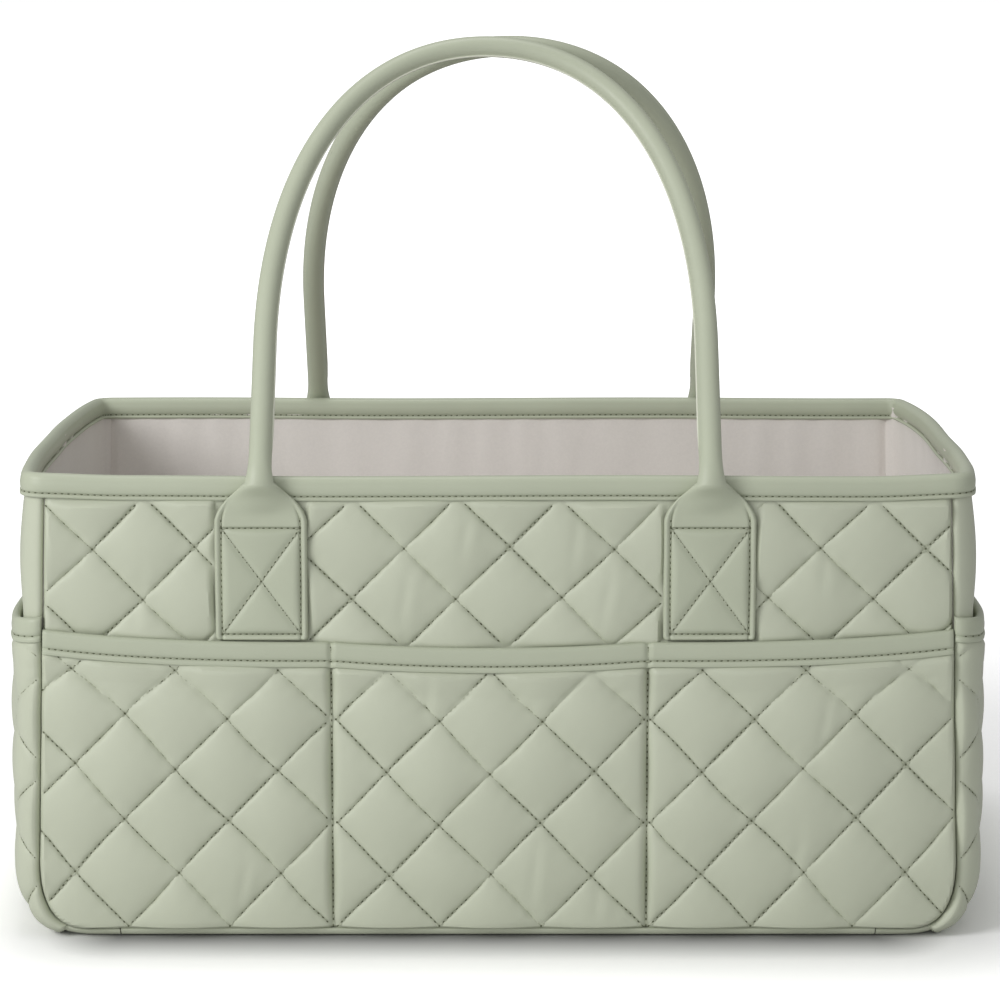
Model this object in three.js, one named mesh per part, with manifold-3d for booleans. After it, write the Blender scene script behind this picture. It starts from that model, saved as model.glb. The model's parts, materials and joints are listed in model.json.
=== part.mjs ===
import * as THREE from 'three';
import Module from 'manifold-3d';

// A quilted diaper caddy: an open soft box on a stiffened base, with pockets all round,
// two rope handles that lean together over the middle, and two lift-out dividers.
// All sizes are in millimetres. X is the length, Y goes from front to back and Z is up.
// The origin is the middle of the underside.
// The back is the front turned half a turn about Z, and the right end is the left end turned.

// Running gap between neighbouring layers
const clearance = 0.3;

// Body over the rim binding
const body_length = 384;
const body_depth = 230;
const body_height = 185.5;
const rim_corner_radius = 8;
const base_corner_radius = 30;
const end_spread = 4;
const end_bow = 7.5;
const base_seam = 150;

// Front and back panel seams
const seam_spread = 5;
const seam_corner_length = 20;
const seam_lift = 3.8;

// Wall layers, from the outside in
const skin_thickness = 1;
const board_thickness = 1.6;
const lining_thickness = 0.6;
const base_board_thickness = 2.5;
const lining_roll = 2.5;
const board_inset = 1.5;
const board_corner_radius = 8;

// Binding tape folded over every raw edge
const binding_thickness = 0.9;
const binding_drop = 9.4;

// Quilting
const quilt_loft = 2.2;
const panel_diamond_length = 40.7;
const panel_diamond_height = 40;
const panel_quilt_x = 4.1;
const panel_quilt_z = 158;
const pocket_diamond_length = 40.3;
const pocket_diamond_height = 40.8;
const pocket_quilt_x = -3.1;
const pocket_quilt_z = 69;
const pocket_quilt_slack = 2.4;
const quilt_fade = 9;
const least_quilt_step = 4;

// Front and back pockets
const pocket_height = 120.3;
const pocket_end_rise = 5;
const pocket_gape = 6;
const middle_pocket_sag = 2;
const pocket_stitch_spacing = 124;
const pocket_stitch_offset = -3.3;
const pocket_seat_length = 10;

// End pockets
const end_pocket_step = 5;
const end_pocket_gape = 5.2;

// Handle tabs
const tab_width = 36.1;
const tab_height = 45.8;
const tab_gap_above_pocket = 0.6;
const tab_lift = 1.1;
const tab_thickness = 2;
const tab_crown = 1.9;
const tab_puff = 0.9;
const tab_stitch_inset = 2.7;
const neck_width = 15;
const neck_setback = 0.3;

// Handles
const handle_diameter = 9.5;
const handle_core_diameter = 6.8;
const handle_spacing = 174.7;
const handle_offset = -4.85;
const handle_reach = 199.7;
const handle_straight = 59.4;
const handle_rim_clearance = 0.55;
const hinge_drop = 0.5;

// Dividers
const divider_place = 104;
const divider_height = 145;
const divider_edge_thickness = 4;
const divider_crown = 1.4;
const divider_corner_radius = 12;
const divider_channel = 36;
const flap_width = 25;
const flap_height = 100;
const flap_thickness = 1.2;
const flap_rise = 25;
const flap_corner_radius = 4;
const loop_margin = 1.5;

// How finely curves are cut
const quilt_steps = 4;
const corner_steps = 4;
const wrap_steps = 3;
const edge_steps = 4;
const bow_steps = 8;
const plate_steps = 1;
const fold_steps = 4;
const tape_fold_steps = 2;
const handle_sides = 10;
const core_sides = 8;
const arch_steps = 12;
const ball_steps = 2;
const quarter = Math.PI / 2;

// Sizes worked out from those above
const skin_y = body_depth / 2 - binding_thickness - clearance;
const skin_x = body_length / 2 - end_bow - binding_thickness - clearance;
const rim_fold_width = skin_thickness + board_thickness + lining_thickness
  + 2 * (clearance + clearance + binding_thickness);
const wall_top = body_height - rim_fold_width / 2;
const board_top = body_height - binding_thickness - 2 * clearance;
const board_y = skin_y - skin_thickness - clearance;
const lining_y = board_y - board_thickness - clearance;
const lining_x = skin_x - skin_thickness - board_thickness - 2 * clearance;
const inside_y = lining_y - lining_thickness;
const base_board_bottom = skin_thickness + clearance;
const lining_bottom = base_board_bottom + base_board_thickness + clearance;
const floor_height = lining_bottom + lining_thickness;
const seam_x = body_length / 2 - end_bow - rim_corner_radius;
const flat_half_depth = body_depth / 2 - rim_corner_radius;
const rim_lip = body_height - binding_drop;
const tape_fold_width = skin_thickness + 2 * (clearance + binding_thickness);
const end_pocket_height = pocket_height + pocket_end_rise + end_pocket_step;
const end_pocket_wrap = quarter * wrap_steps / corner_steps;
const handle_radius = handle_diameter / 2;
const hinge_y = body_depth / 2 + handle_rim_clearance + handle_radius;
const hinge_z = body_height - hinge_drop;

const lerp = THREE.MathUtils.lerp;
const clamp = THREE.MathUtils.clamp;

// Materials
const finishes = {
  leather: new THREE.MeshStandardMaterial({ color: 0xb2b9a5, roughness: 0.62, metalness: 0 }),
  tape: new THREE.MeshStandardMaterial({ color: 0xa9b099, roughness: 0.58, metalness: 0 }),
  lining: new THREE.MeshStandardMaterial({ color: 0xc2b9b2, roughness: 0.9, metalness: 0 }),
  board: new THREE.MeshStandardMaterial({ color: 0x9a958a, roughness: 0.95, metalness: 0 }),
  rope: new THREE.MeshStandardMaterial({ color: 0xe6e2d8, roughness: 0.9, metalness: 0 }),
  fastener: new THREE.MeshStandardMaterial({ color: 0x9fa48f, roughness: 1, metalness: 0 }),
};

// Points and triangles of one closed solid, turned to face outwards when it is finished
class Solid {
  constructor() {
    this.points = [];
    this.faces = [];
  }

  add(point) {
    this.points.push(point);
    return this.points.length - 1;
  }

  triangle(a, b, c) {
    this.faces.push([a, b, c]);
  }

  quad(a, b, c, d, acrossFirst = true) {
    if (acrossFirst) {
      this.triangle(a, b, c);
      this.triangle(a, c, d);
    } else {
      this.triangle(a, b, d);
      this.triangle(b, c, d);
    }
  }

  volume() {
    const sixths = this.faces.map(([a, b, c]) => this.points[a].dot(
      new THREE.Vector3().crossVectors(this.points[b], this.points[c])));
    return sixths.reduce((sum, value) => sum + value, 0);
  }

  geometry() {
    const flip = this.volume() < 0;
    const index = this.faces.flatMap(([a, b, c]) => (flip ? [a, c, b] : [a, b, c]));
    const geometry = new THREE.BufferGeometry().setFromPoints(this.points);
    geometry.setIndex(index);
    return geometry;
  }
}

// Joins two rows of points, which may have different numbers of points, with a strip of triangles
function zip(solid, first, firstShares, second, secondShares) {
  let i = 0;
  let j = 0;
  while (i < first.length - 1 || j < second.length - 1) {
    const secondDone = j === second.length - 1;
    const firstLeft = i < first.length - 1;
    if (secondDone || (firstLeft && firstShares[i + 1] <= secondShares[j + 1])) {
      solid.triangle(first[i], first[i + 1], second[j]);
      i += 1;
    } else {
      solid.triangle(first[i], second[j + 1], second[j]);
      j += 1;
    }
  }
}

// A closed sheet with an outer and an inner face. Each face has its own grid of shares, and
// point(u, v) gives its points. height(u, v), where given, says how proud a point of a quilted
// face stands, so that each cell is split along its seam.
function sheet(outer, inner) {
  const solid = new Solid();
  const grids = [outer, inner].map(({ us, vs, point }) => us.map((u) => vs.map((v) => solid.add(point(u, v)))));
  [outer, inner].forEach(({ us, vs, height }, face) => {
    const grid = grids[face];
    for (let i = 0; i < us.length - 1; i += 1) {
      for (let j = 0; j < vs.length - 1; j += 1) {
        const corners = [grid[i][j], grid[i + 1][j], grid[i + 1][j + 1], grid[i][j + 1]];
        let acrossFirst = true;
        if (height) {
          const rising = [height(us[i], vs[j]), height(us[i + 1], vs[j + 1])];
          const falling = [height(us[i + 1], vs[j]), height(us[i], vs[j + 1])];
          const seamRises = Math.max(...rising) < clearance;
          const seamFalls = Math.max(...falling) < clearance;
          const fuller = rising[0] + rising[1] >= falling[0] + falling[1];
          acrossFirst = seamRises || (!seamFalls && fuller);
        }
        if (face === 1) {
          corners.reverse();
          acrossFirst = !acrossFirst;
        }
        solid.quad(...corners, acrossFirst);
      }
    }
  });
  const [out, back] = grids;
  const column = (grid, last) => grid[last ? grid.length - 1 : 0];
  const row = (grid, last) => grid.map((line) => line[last ? line.length - 1 : 0]);
  zip(solid, row(back, false), inner.us, row(out, false), outer.us);
  zip(solid, row(out, true), outer.us, row(back, true), inner.us);
  zip(solid, column(out, false), outer.vs, column(back, false), inner.vs);
  zip(solid, column(back, true), inner.vs, column(out, true), outer.vs);
  return solid.geometry();
}

// Carries a flat section past a row of stations. place(station, point) puts a section point in space.
function sweep(section, stations, place, closed = false) {
  const solid = new Solid();
  const rings = stations.map((station) => section.map((point) => solid.add(place(station, point))));
  const spans = closed ? rings.length : rings.length - 1;
  for (let i = 0; i < spans; i += 1) {
    const here = rings[i];
    const next = rings[(i + 1) % rings.length];
    section.forEach((_, j) => {
      const k = (j + 1) % section.length;
      solid.quad(here[j], here[k], next[k], next[j]);
    });
  }
  if (!closed) {
    const turned = THREE.ShapeUtils.isClockWise(section);
    THREE.ShapeUtils.triangulateShape(section, []).forEach(([a, b, c]) => {
      const [first, last] = [rings[0], rings[rings.length - 1]];
      if (turned) {
        solid.triangle(first[a], first[b], first[c]);
        solid.triangle(last[a], last[c], last[b]);
      } else {
        solid.triangle(first[a], first[c], first[b]);
        solid.triangle(last[a], last[b], last[c]);
      }
    });
  }
  return solid.geometry();
}

// Solid of manifold-3d from a closed geometry, and back again
const wasm = await Module();
wasm.setup();

function toManifold(geometry) {
  const vertProperties = new Float32Array(geometry.attributes.position.array);
  const triVerts = new Uint32Array(geometry.index.array);
  return new wasm.Manifold(new wasm.Mesh({ numProp: 3, vertProperties, triVerts }));
}

function fromManifold(manifold) {
  const mesh = manifold.getMesh();
  const geometry = new THREE.BufferGeometry();
  geometry.setAttribute('position', new THREE.BufferAttribute(new Float32Array(mesh.vertProperties), 3));
  geometry.setIndex(new THREE.BufferAttribute(new Uint32Array(mesh.triVerts), 1));
  return geometry;
}

// Evenly spaced shares from 0 to 1
function evenShares(steps) {
  return Array.from({ length: steps + 1 }, (_, i) => i / steps);
}

// Lines a quarter of a diamond apart from low to high, in step with a crossing at origin
function quiltLines(low, high, origin, diamond) {
  const step = diamond / quilt_steps;
  const lines = [low];
  const firstLine = Math.ceil((low + least_quilt_step - origin) / step);
  const lastLine = Math.floor((high - least_quilt_step - origin) / step);
  for (let line = firstLine; line <= lastLine; line += 1) {
    lines.push(origin + line * step);
  }
  lines.push(high);
  return lines;
}

// How proud a diamond stands where a and b count diamonds from a crossing of two seams
function puff(a, b) {
  return quilt_loft * Math.sqrt(Math.abs(Math.sin(Math.PI * (a - b)) * Math.sin(Math.PI * (a + b))));
}

// An inverted U. x is the distance in from the outer face and y the height above its feet.
function foldSection(width, drop, thickness, steps) {
  const radius = width / 2;
  const spring = drop - radius;
  const arc = (bend) => evenShares(steps).map((share) => {
    const angle = Math.PI * share;
    return new THREE.Vector2(radius - bend * Math.cos(angle), spring + bend * Math.sin(angle));
  });
  return [
    new THREE.Vector2(0, 0),
    ...arc(radius),
    new THREE.Vector2(width, 0),
    new THREE.Vector2(width - thickness, 0),
    ...arc(radius - thickness).reverse(),
    new THREE.Vector2(thickness, 0),
  ];
}

// Stations round a rounded rectangle, each with its place and its outward direction
function roundedLoop(halfLength, halfWidth, radius, steps) {
  const corners = [[1, 1], [-1, 1], [-1, -1], [1, -1]];
  return corners.flatMap(([signX, signY], corner) => evenShares(steps).map((share) => {
    const angle = quarter * (corner + share);
    const out = new THREE.Vector2(Math.cos(angle), Math.sin(angle));
    const centre = new THREE.Vector2(signX * (halfLength - radius), signY * (halfWidth - radius));
    return { place: centre.addScaledVector(out, radius), out };
  }));
}

// A flat plate with rounded corners, from low to high corners in its own plane
function plateShape(low, high, radius) {
  const shape = new THREE.Shape();
  shape.absarc(high.x - radius, low.y + radius, radius, -quarter, 0, false);
  shape.absarc(high.x - radius, high.y - radius, radius, 0, quarter, false);
  shape.absarc(low.x + radius, high.y - radius, radius, quarter, 2 * quarter, false);
  shape.absarc(low.x + radius, low.y + radius, radius, 2 * quarter, 3 * quarter, false);
  return shape;
}

// Extrudes a shape drawn in X and Z and puts its outer face at the given distance to the front
function frontPlate(shape, outerY, thickness) {
  const geometry = new THREE.ExtrudeGeometry(shape, {
    depth: thickness, bevelEnabled: false, curveSegments: plate_steps,
  });
  geometry.rotateX(quarter);
  geometry.translate(0, thickness - outerY, 0);
  return geometry;
}

// Outlines in the front view, from the rim down an end and in under the base.
// The seam is where a panel meets the end strip, and the crown is the flat of the end strip.
const skin_layer = {
  outerY: skin_y,
  edge: skin_y - flat_half_depth,
  seam: {
    topX: seam_x, lowX: seam_x + seam_spread,
    cornerLength: seam_corner_length, cornerHeight: base_corner_radius - seam_lift,
  },
  crown: {
    topX: skin_x, lowX: skin_x + end_spread,
    cornerLength: base_corner_radius, cornerHeight: base_corner_radius,
  },
};

const lining_inset = skin_x - lining_x;
const lining_edge = lining_y - flat_half_depth;
const lining_layer = {
  outerY: lining_y,
  edge: lining_edge,
  seam: {
    topX: seam_x, lowX: seam_x + end_spread,
    cornerLength: base_corner_radius - lining_inset - lining_edge,
    cornerHeight: base_corner_radius - lining_bottom - lining_roll,
  },
  crown: {
    topX: lining_x, lowX: lining_x + end_spread,
    cornerLength: base_corner_radius - lining_inset,
    cornerHeight: base_corner_radius - lining_bottom,
  },
};

// A place on an end wall: z on the upright part, then turn round the base corner, then a run
// in under the base, which goes from 0 at the end of the corner to 1 at the base seam
function station(z, turn = 0, run = 0) {
  return { z: turn > 0 ? base_corner_radius : z, turn, run };
}

// The point of an outline at a station, with x counted outwards from the middle
function outlineAt(outline, { z, turn, run }) {
  const share = (wall_top - z) / (wall_top - base_corner_radius);
  const cornerX = lerp(outline.topX, outline.lowX, share) - outline.cornerLength * (1 - Math.cos(turn));
  const x = lerp(cornerX, base_seam + clearance / 2, run);
  return new THREE.Vector2(x, z - outline.cornerHeight * Math.sin(turn));
}

// How far an end bows out at a distance from its middle
const end_bow_power = 3;
function bowAt(y) {
  return end_bow * (1 - Math.min(1, Math.abs(2 * y / body_depth)) ** end_bow_power);
}

// Length across an end wall from seam to seam, and the point at a share of it.
// offset moves the point out from the outer face of the layer.
function acrossLength(layer) {
  return 2 * (quarter * layer.edge + flat_half_depth);
}

function endPoint(layer, across, here, offset) {
  const distance = across * acrossLength(layer);
  const edgeLength = quarter * layer.edge;
  const fromSeam = Math.min(distance, acrossLength(layer) - distance);
  const towards = distance < acrossLength(layer) / 2 ? -1 : 1;
  const angle = quarter * Math.min(1, fromSeam / edgeLength);
  const roll = flat_half_depth + (layer.edge + offset) * Math.cos(angle);
  const y = fromSeam < edgeLength ? towards * roll : distance - acrossLength(layer) / 2;
  const seam = outlineAt(layer.seam, here);
  const crown = outlineAt(layer.crown, here);
  crown.x += offset * Math.cos(here.turn) + bowAt(y) * (1 - here.run);
  crown.y -= offset * Math.sin(here.turn);
  const x = lerp(seam.x, crown.x, Math.sin(angle));
  const z = lerp(seam.y, crown.y, Math.sin(angle));
  return new THREE.Vector3(-x, y, z);
}

// Shares across an end wall: those of its rounded front edge, those of its bow, and all of them
function edgeShares(layer) {
  const edgeShare = quarter * layer.edge / acrossLength(layer);
  return evenShares(edge_steps).map((share) => share * edgeShare);
}

function bowShares(layer) {
  const edge = edgeShares(layer)[edge_steps];
  return evenShares(bow_steps).slice(1, -1).map((share) => lerp(edge, 1 - edge, share));
}

function acrossShares(layer) {
  const front = edgeShares(layer);
  const back = front.map((share) => 1 - share).reverse();
  return [...front, ...bowShares(layer), ...back];
}

// End strip of a layer, from the rim to the base seam
function endStrip(layer, thickness) {
  const stations = [
    station(wall_top),
    station(lerp(wall_top, base_corner_radius, 1 / 2)),
    ...evenShares(corner_steps).map((share) => station(base_corner_radius, quarter * share)),
    station(base_corner_radius, quarter, 1),
  ];
  const vs = evenShares(stations.length - 1);
  const at = (v) => stations[Math.round(v * (stations.length - 1))];
  const us = acrossShares(layer);
  return sheet(
    { us, vs, point: (u, v) => endPoint(layer, u, at(v), 0) },
    { us, vs, point: (u, v) => endPoint(layer, u, at(v), -thickness) },
  );
}

// Base piece of a layer, between the two base seams
function baseStrip(layer, thickness) {
  const under = station(base_corner_radius, quarter, 1);
  const front = edgeShares(layer);
  const us = [...front, ...front.map((share) => 1 - share).reverse()];
  const vs = [0, 1];
  const face = (offset) => (u, v) => {
    const point = endPoint(layer, u, under, offset);
    point.x = lerp(-base_seam, base_seam, v) * (1 - clearance / base_seam);
    return point;
  };
  return sheet({ us, vs, point: face(0) }, { us, vs, point: face(-thickness) });
}

// Half-length of a panel at a height, inside its seam
function seamHalfLength(outline, z, inset) {
  const low = Math.max(0, base_corner_radius - z);
  const turn = Math.asin(Math.min(1, low / outline.cornerHeight));
  return outlineAt(outline, { z: Math.max(z, base_corner_radius), turn, run: 0 }).x - inset;
}

// Outline of a board or lining that lies inside a seam
function seamShape(outline, top, inset) {
  const bottom = base_corner_radius - outline.cornerHeight + inset;
  const right = evenShares(corner_steps).map((share) => {
    const turn = quarter * (1 - share);
    const height = base_corner_radius - (base_corner_radius - bottom) * Math.sin(turn);
    return new THREE.Vector2(outline.lowX - inset - (outline.cornerLength) * (1 - Math.cos(turn)), height);
  });
  right.push(new THREE.Vector2(seamHalfLength(outline, Math.min(top, wall_top), inset), top));
  const left = right.map((point) => new THREE.Vector2(-point.x, point.y)).reverse();
  return new THREE.Shape([...right, ...left]);
}

// Fits a line drawn at full width inside the rounded lower corners
function fitted(line, z) {
  const full = skin_layer.seam.lowX - clearance;
  const half = seamHalfLength(skin_layer.seam, z, clearance);
  const fixed = full - 2 * seam_corner_length;
  const beyond = Math.abs(line) - fixed;
  const x = beyond <= 0 ? Math.abs(line) : lerp(fixed, half, beyond / (full - fixed));
  return Math.sign(line) * x;
}

// Distance in from a panel's side and lower seams, as a share of the length over which quilting fades
function seamFade(x, z) {
  const side = seamHalfLength(skin_layer.seam, z, clearance) - Math.abs(x);
  return clamp(Math.min(side, z - seam_lift) / quilt_fade, 0, 1);
}

// Rows of a panel in its rounded lower corners, from the bottom up
function cornerRows() {
  return evenShares(corner_steps).map((share) => {
    const turn = quarter * (1 - share);
    return base_corner_radius - skin_layer.seam.cornerHeight * Math.sin(turn);
  });
}

// Middles of the two tabs on a face
const tab_places = [-1, 1].map((side) => handle_offset + side * handle_spacing / 2);

// Front panel: quilted above the pockets and pressed flat behind them, under the tabs and in the rim
function frontPanel() {
  const full = skin_layer.seam.lowX - clearance;
  const lines = quiltLines(-full, full, panel_quilt_x, panel_diamond_length);
  const quilted = quiltLines(pocket_height, rim_lip, panel_quilt_z, panel_diamond_height);
  const rows = [...cornerRows(), ...quilted, wall_top];
  const underTab = (x) => tab_places.some((place) => Math.abs(x - place) < (tab_width + clearance) / 2);
  const [quiltLow, quiltHigh] = [pocket_height + least_quilt_step / 2, rim_lip - least_quilt_step / 2];
  const heightAt = (x, z) => {
    if (z < quiltLow || z > quiltHigh || underTab(x)) {
      return 0;
    }
    const a = (x - panel_quilt_x) / panel_diamond_length;
    const b = (z - panel_quilt_z) / panel_diamond_height;
    return puff(a, b) * seamFade(x, z);
  };
  const bottom = rows[0];
  const us = lines.map((line) => (line + full) / (2 * full));
  const vs = rows.map((z) => (z - bottom) / (wall_top - bottom));
  const place = (u, v) => {
    const z = lerp(bottom, wall_top, v);
    return { x: fitted(lerp(-full, full, u), z), z };
  };
  const height = (u, v) => {
    const { x, z } = place(u, v);
    return heightAt(x, z);
  };
  const outerPoint = (u, v) => {
    const { x, z } = place(u, v);
    return new THREE.Vector3(x, -(skin_y + heightAt(x, z)), z);
  };
  const innerPoint = (u, v) => {
    const { x, z } = place(u, v);
    return new THREE.Vector3(x, skin_thickness - skin_y, z);
  };
  return sheet({ us, vs, point: outerPoint, height }, { us: [0, 1], vs, point: innerPoint });
}

// Stitch lines that part the three front pockets
const pocket_stitches = [-1, 1].map((side) => pocket_stitch_offset + side * pocket_stitch_spacing / 2);

// Height of the pocket's edge, which rises a little to the side seams and sags in the middle pocket
const mouth_rise_power = 4;
function mouthHeight(x) {
  const share = Math.min(1, Math.abs(x) / seam_x);
  const fromMiddle = Math.min(1, Math.abs(2 * (x - pocket_stitch_offset) / pocket_stitch_spacing));
  const sag = middle_pocket_sag * (1 - fromMiddle ** 2);
  return pocket_height + pocket_end_rise * share ** mouth_rise_power - sag;
}

// How far a pocket bellies out between its two seams, where share goes from one seam to the other
const belly_power = 2.6;
const belly_rise_power = 0.8;
function belly(share, rise) {
  const across = 1 - Math.abs(2 * clamp(share, 0, 1) - 1) ** belly_power;
  return across * clamp(rise, 0, 1) ** belly_rise_power;
}

function pocketBelly(x, z) {
  const half = seamHalfLength(skin_layer.seam, z, clearance);
  const edges = [-half, ...pocket_stitches, half];
  const right = edges.findIndex((edge, i) => i > 0 && x <= edge);
  const last = right < 0 ? edges.length - 1 : right;
  const share = (x - edges[last - 1]) / (edges[last] - edges[last - 1]);
  const rise = (z - seam_lift) / (mouthHeight(x) - seam_lift);
  return pocket_gape * belly(share, rise);
}

// Room for the inner leg of the binding, opened over a short length below it
function seatFor(height, mouth) {
  const open = clamp((height - (mouth - binding_drop - pocket_seat_length)) / pocket_seat_length, 0, 1);
  return open * (binding_thickness + clearance);
}

// Lines across the front pockets, in step with the quilting of each pocket
function pocketLines() {
  const full = skin_layer.seam.lowX - clearance;
  const edges = [-full, ...pocket_stitches, full];
  const lines = [-full];
  edges.slice(1).forEach((edge, pocket) => {
    const origin = pocket_quilt_x + (pocket - 1) * pocket_quilt_slack;
    lines.push(...quiltLines(edges[pocket], edge, origin, pocket_diamond_length).slice(1));
  });
  return lines;
}

function pocketHeight(x, z) {
  const pocket = pocket_stitches.filter((stitch) => x > stitch).length;
  const a = (x - pocket_quilt_x - (pocket - 1) * pocket_quilt_slack) / pocket_diamond_length;
  const b = (z - pocket_quilt_z) / pocket_diamond_height;
  const fromStitch = Math.min(...pocket_stitches.map((stitch) => Math.abs(x - stitch)));
  const lip = mouthHeight(x) - binding_drop;
  const fade = Math.min(seamFade(x, z), clamp(fromStitch / quilt_fade, 0, 1));
  return z > lip - least_quilt_step / 2 ? 0 : puff(a, b) * fade;
}

// Front pocket sheet, sewn at its sides, its lower edge and its two stitch lines
function frontPocket() {
  const full = skin_layer.seam.lowX - clearance;
  const lines = pocketLines();
  const lipRow = pocket_height - binding_drop;
  const quilted = quiltLines(base_corner_radius, lipRow, pocket_quilt_z, pocket_diamond_height);
  const rows = [...cornerRows(), ...quilted.slice(1), pocket_height - tape_fold_width / 2];
  const corner = cornerRows().filter((_, i) => i % 2 === 0);
  const plain = [...corner, lipRow - pocket_seat_length, lipRow, rows[rows.length - 1]];
  const bottom = rows[0];
  const span = rows[rows.length - 1] - bottom;
  const shares = (list) => list.map((z) => (z - bottom) / span);
  const place = (u, v) => {
    const level = lerp(bottom, bottom + span, v);
    const x = fitted(lerp(-full, full, u), level);
    const rise = clamp((level - base_corner_radius) / (lipRow - base_corner_radius), 0, 1);
    return { x, z: level + (mouthHeight(x) - pocket_height) * rise };
  };
  const height = (u, v) => {
    const { x, z } = place(u, v);
    return pocketHeight(x, z);
  };
  const face = (thickness, quilt) => (u, v) => {
    const { x, z } = place(u, v);
    const proud = quilt ? pocketHeight(x, z) : 0;
    const out = clearance + pocketBelly(x, z) + seatFor(z, mouthHeight(x)) + thickness + proud;
    return new THREE.Vector3(x, -(skin_y + out), z);
  };
  const us = lines.map((line) => (line + full) / (2 * full));
  return sheet(
    { us, vs: shares(rows), point: face(skin_thickness, true), height },
    { us, vs: shares(plain), point: face(0, false) },
  );
}

// Binding over the front pockets' edge
function frontPocketBinding() {
  const section = foldSection(tape_fold_width, binding_drop, binding_thickness, tape_fold_steps);
  return sweep(section, pocketLines(), (line, { x: across, y: up }) => {
    const x = fitted(line, pocket_height);
    const z = mouthHeight(x) - binding_drop + up;
    const out = clearance + pocketBelly(x, z) + tape_fold_width - across;
    return new THREE.Vector3(x, -(skin_y + out), z);
  });
}

// How far an end pocket bellies out
const end_belly_power = 3.4;
function endPocketBelly(across, z) {
  const rise = (z - base_corner_radius) / (end_pocket_height - base_corner_radius);
  const round = 1 - Math.abs(2 * across - 1) ** end_belly_power;
  return end_pocket_gape * round * clamp(rise, 0, 1) ** belly_rise_power;
}

// Shares across an end pocket, in step with its quilting and with the rounded edges
function endPocketShares() {
  const length = acrossLength(skin_layer);
  const front = edgeShares(skin_layer);
  const edge = front[edge_steps] * length;
  const lines = quiltLines(edge, length - edge, length / 2, pocket_diamond_length);
  const flat = lines.slice(1, -1).map((line) => line / length);
  return [...front, ...flat, ...front.map((share) => 1 - share).reverse()];
}

// End pocket sheet, which wraps round the end strip and under its base corner
function endPocket() {
  const length = acrossLength(skin_layer);
  const lip = end_pocket_height - binding_drop;
  const top = end_pocket_height - tape_fold_width / 2;
  const wrapLength = base_corner_radius * end_pocket_wrap;
  const total = top - base_corner_radius + wrapLength;
  const quilted = quiltLines(base_corner_radius, lip, pocket_quilt_z, pocket_diamond_height);
  const rise = (z) => (z - base_corner_radius + wrapLength) / total;
  const corner = evenShares(wrap_steps).map((share) => share * wrapLength / total);
  const levels = (v) => v * total - wrapLength + base_corner_radius;
  const here = (v) => {
    const z = levels(v);
    return z >= base_corner_radius ? station(z) : station(z, (base_corner_radius - z) / base_corner_radius);
  };
  const height = (u, v) => {
    const z = levels(v);
    const a = (u - 1 / 2) * length / pocket_diamond_length;
    const b = (z - pocket_quilt_z) / pocket_diamond_height;
    const sides = Math.min(u, 1 - u) * length;
    const fade = clamp(Math.min(sides, v * total) / quilt_fade, 0, 1);
    return z > lip - least_quilt_step / 2 ? 0 : puff(a, b) * fade;
  };
  const face = (thickness, quilt) => (u, v) => {
    const z = levels(v);
    const proud = quilt ? height(u, v) : 0;
    const offset = clearance + endPocketBelly(u, z) + seatFor(z, end_pocket_height) + thickness + proud;
    return endPoint(skin_layer, u, here(v), offset);
  };
  const us = endPocketShares();
  const vs = [...corner.slice(0, -1), ...quilted.map(rise), 1];
  const plain = [...corner, rise(lip - pocket_seat_length), rise(lip), 1];
  return sheet(
    { us, vs, point: face(skin_thickness, true), height },
    { us, vs: plain, point: face(0, false) },
  );
}

// Binding over an end pocket's edge
function endPocketBinding() {
  const section = foldSection(tape_fold_width, binding_drop, binding_thickness, tape_fold_steps);
  return sweep(section, endPocketShares(), (share, { x: across, y: up }) => {
    const z = end_pocket_height - binding_drop + up;
    const out = clearance + endPocketBelly(share, z) + tape_fold_width - across;
    return endPoint(skin_layer, share, station(z), out);
  });
}

// Binding over the rim, in one loop: round the left end, along the back, round the right end
// and along the front
function rimBinding() {
  const section = foldSection(rim_fold_width, binding_drop, binding_thickness, fold_steps);
  const loop = [1, -1].flatMap((side) => acrossShares(skin_layer).map((share) => ({ side, share })));
  return sweep(section, loop, ({ side, share }, { x: inward, y: up }) => {
    const out = clearance + binding_thickness - inward;
    const point = endPoint(skin_layer, share, station(rim_lip + up), out);
    return new THREE.Vector3(side * point.x, side * point.y, point.z);
  }, true);
}

// Tab: a stitched box that narrows through a flare to the neck of the handle.
// Each row of the flare gives its height, its width and how full it is, as shares.
const flare_rows_shares = [
  [0, 1, 0.3], [0.37, 0.84, 0.9], [0.6, 0.68, 1], [0.76, 0.5, 0.75], [0.9, 0.22, 0.3], [1, 0, 0],
];
const tab_column_shares = [-1, -0.85, -0.42, 0, 0.42, 0.85, 1];
const box_row_shares = [0, 0.06, 0.28, 0.5, 0.72, 0.94];

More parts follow.
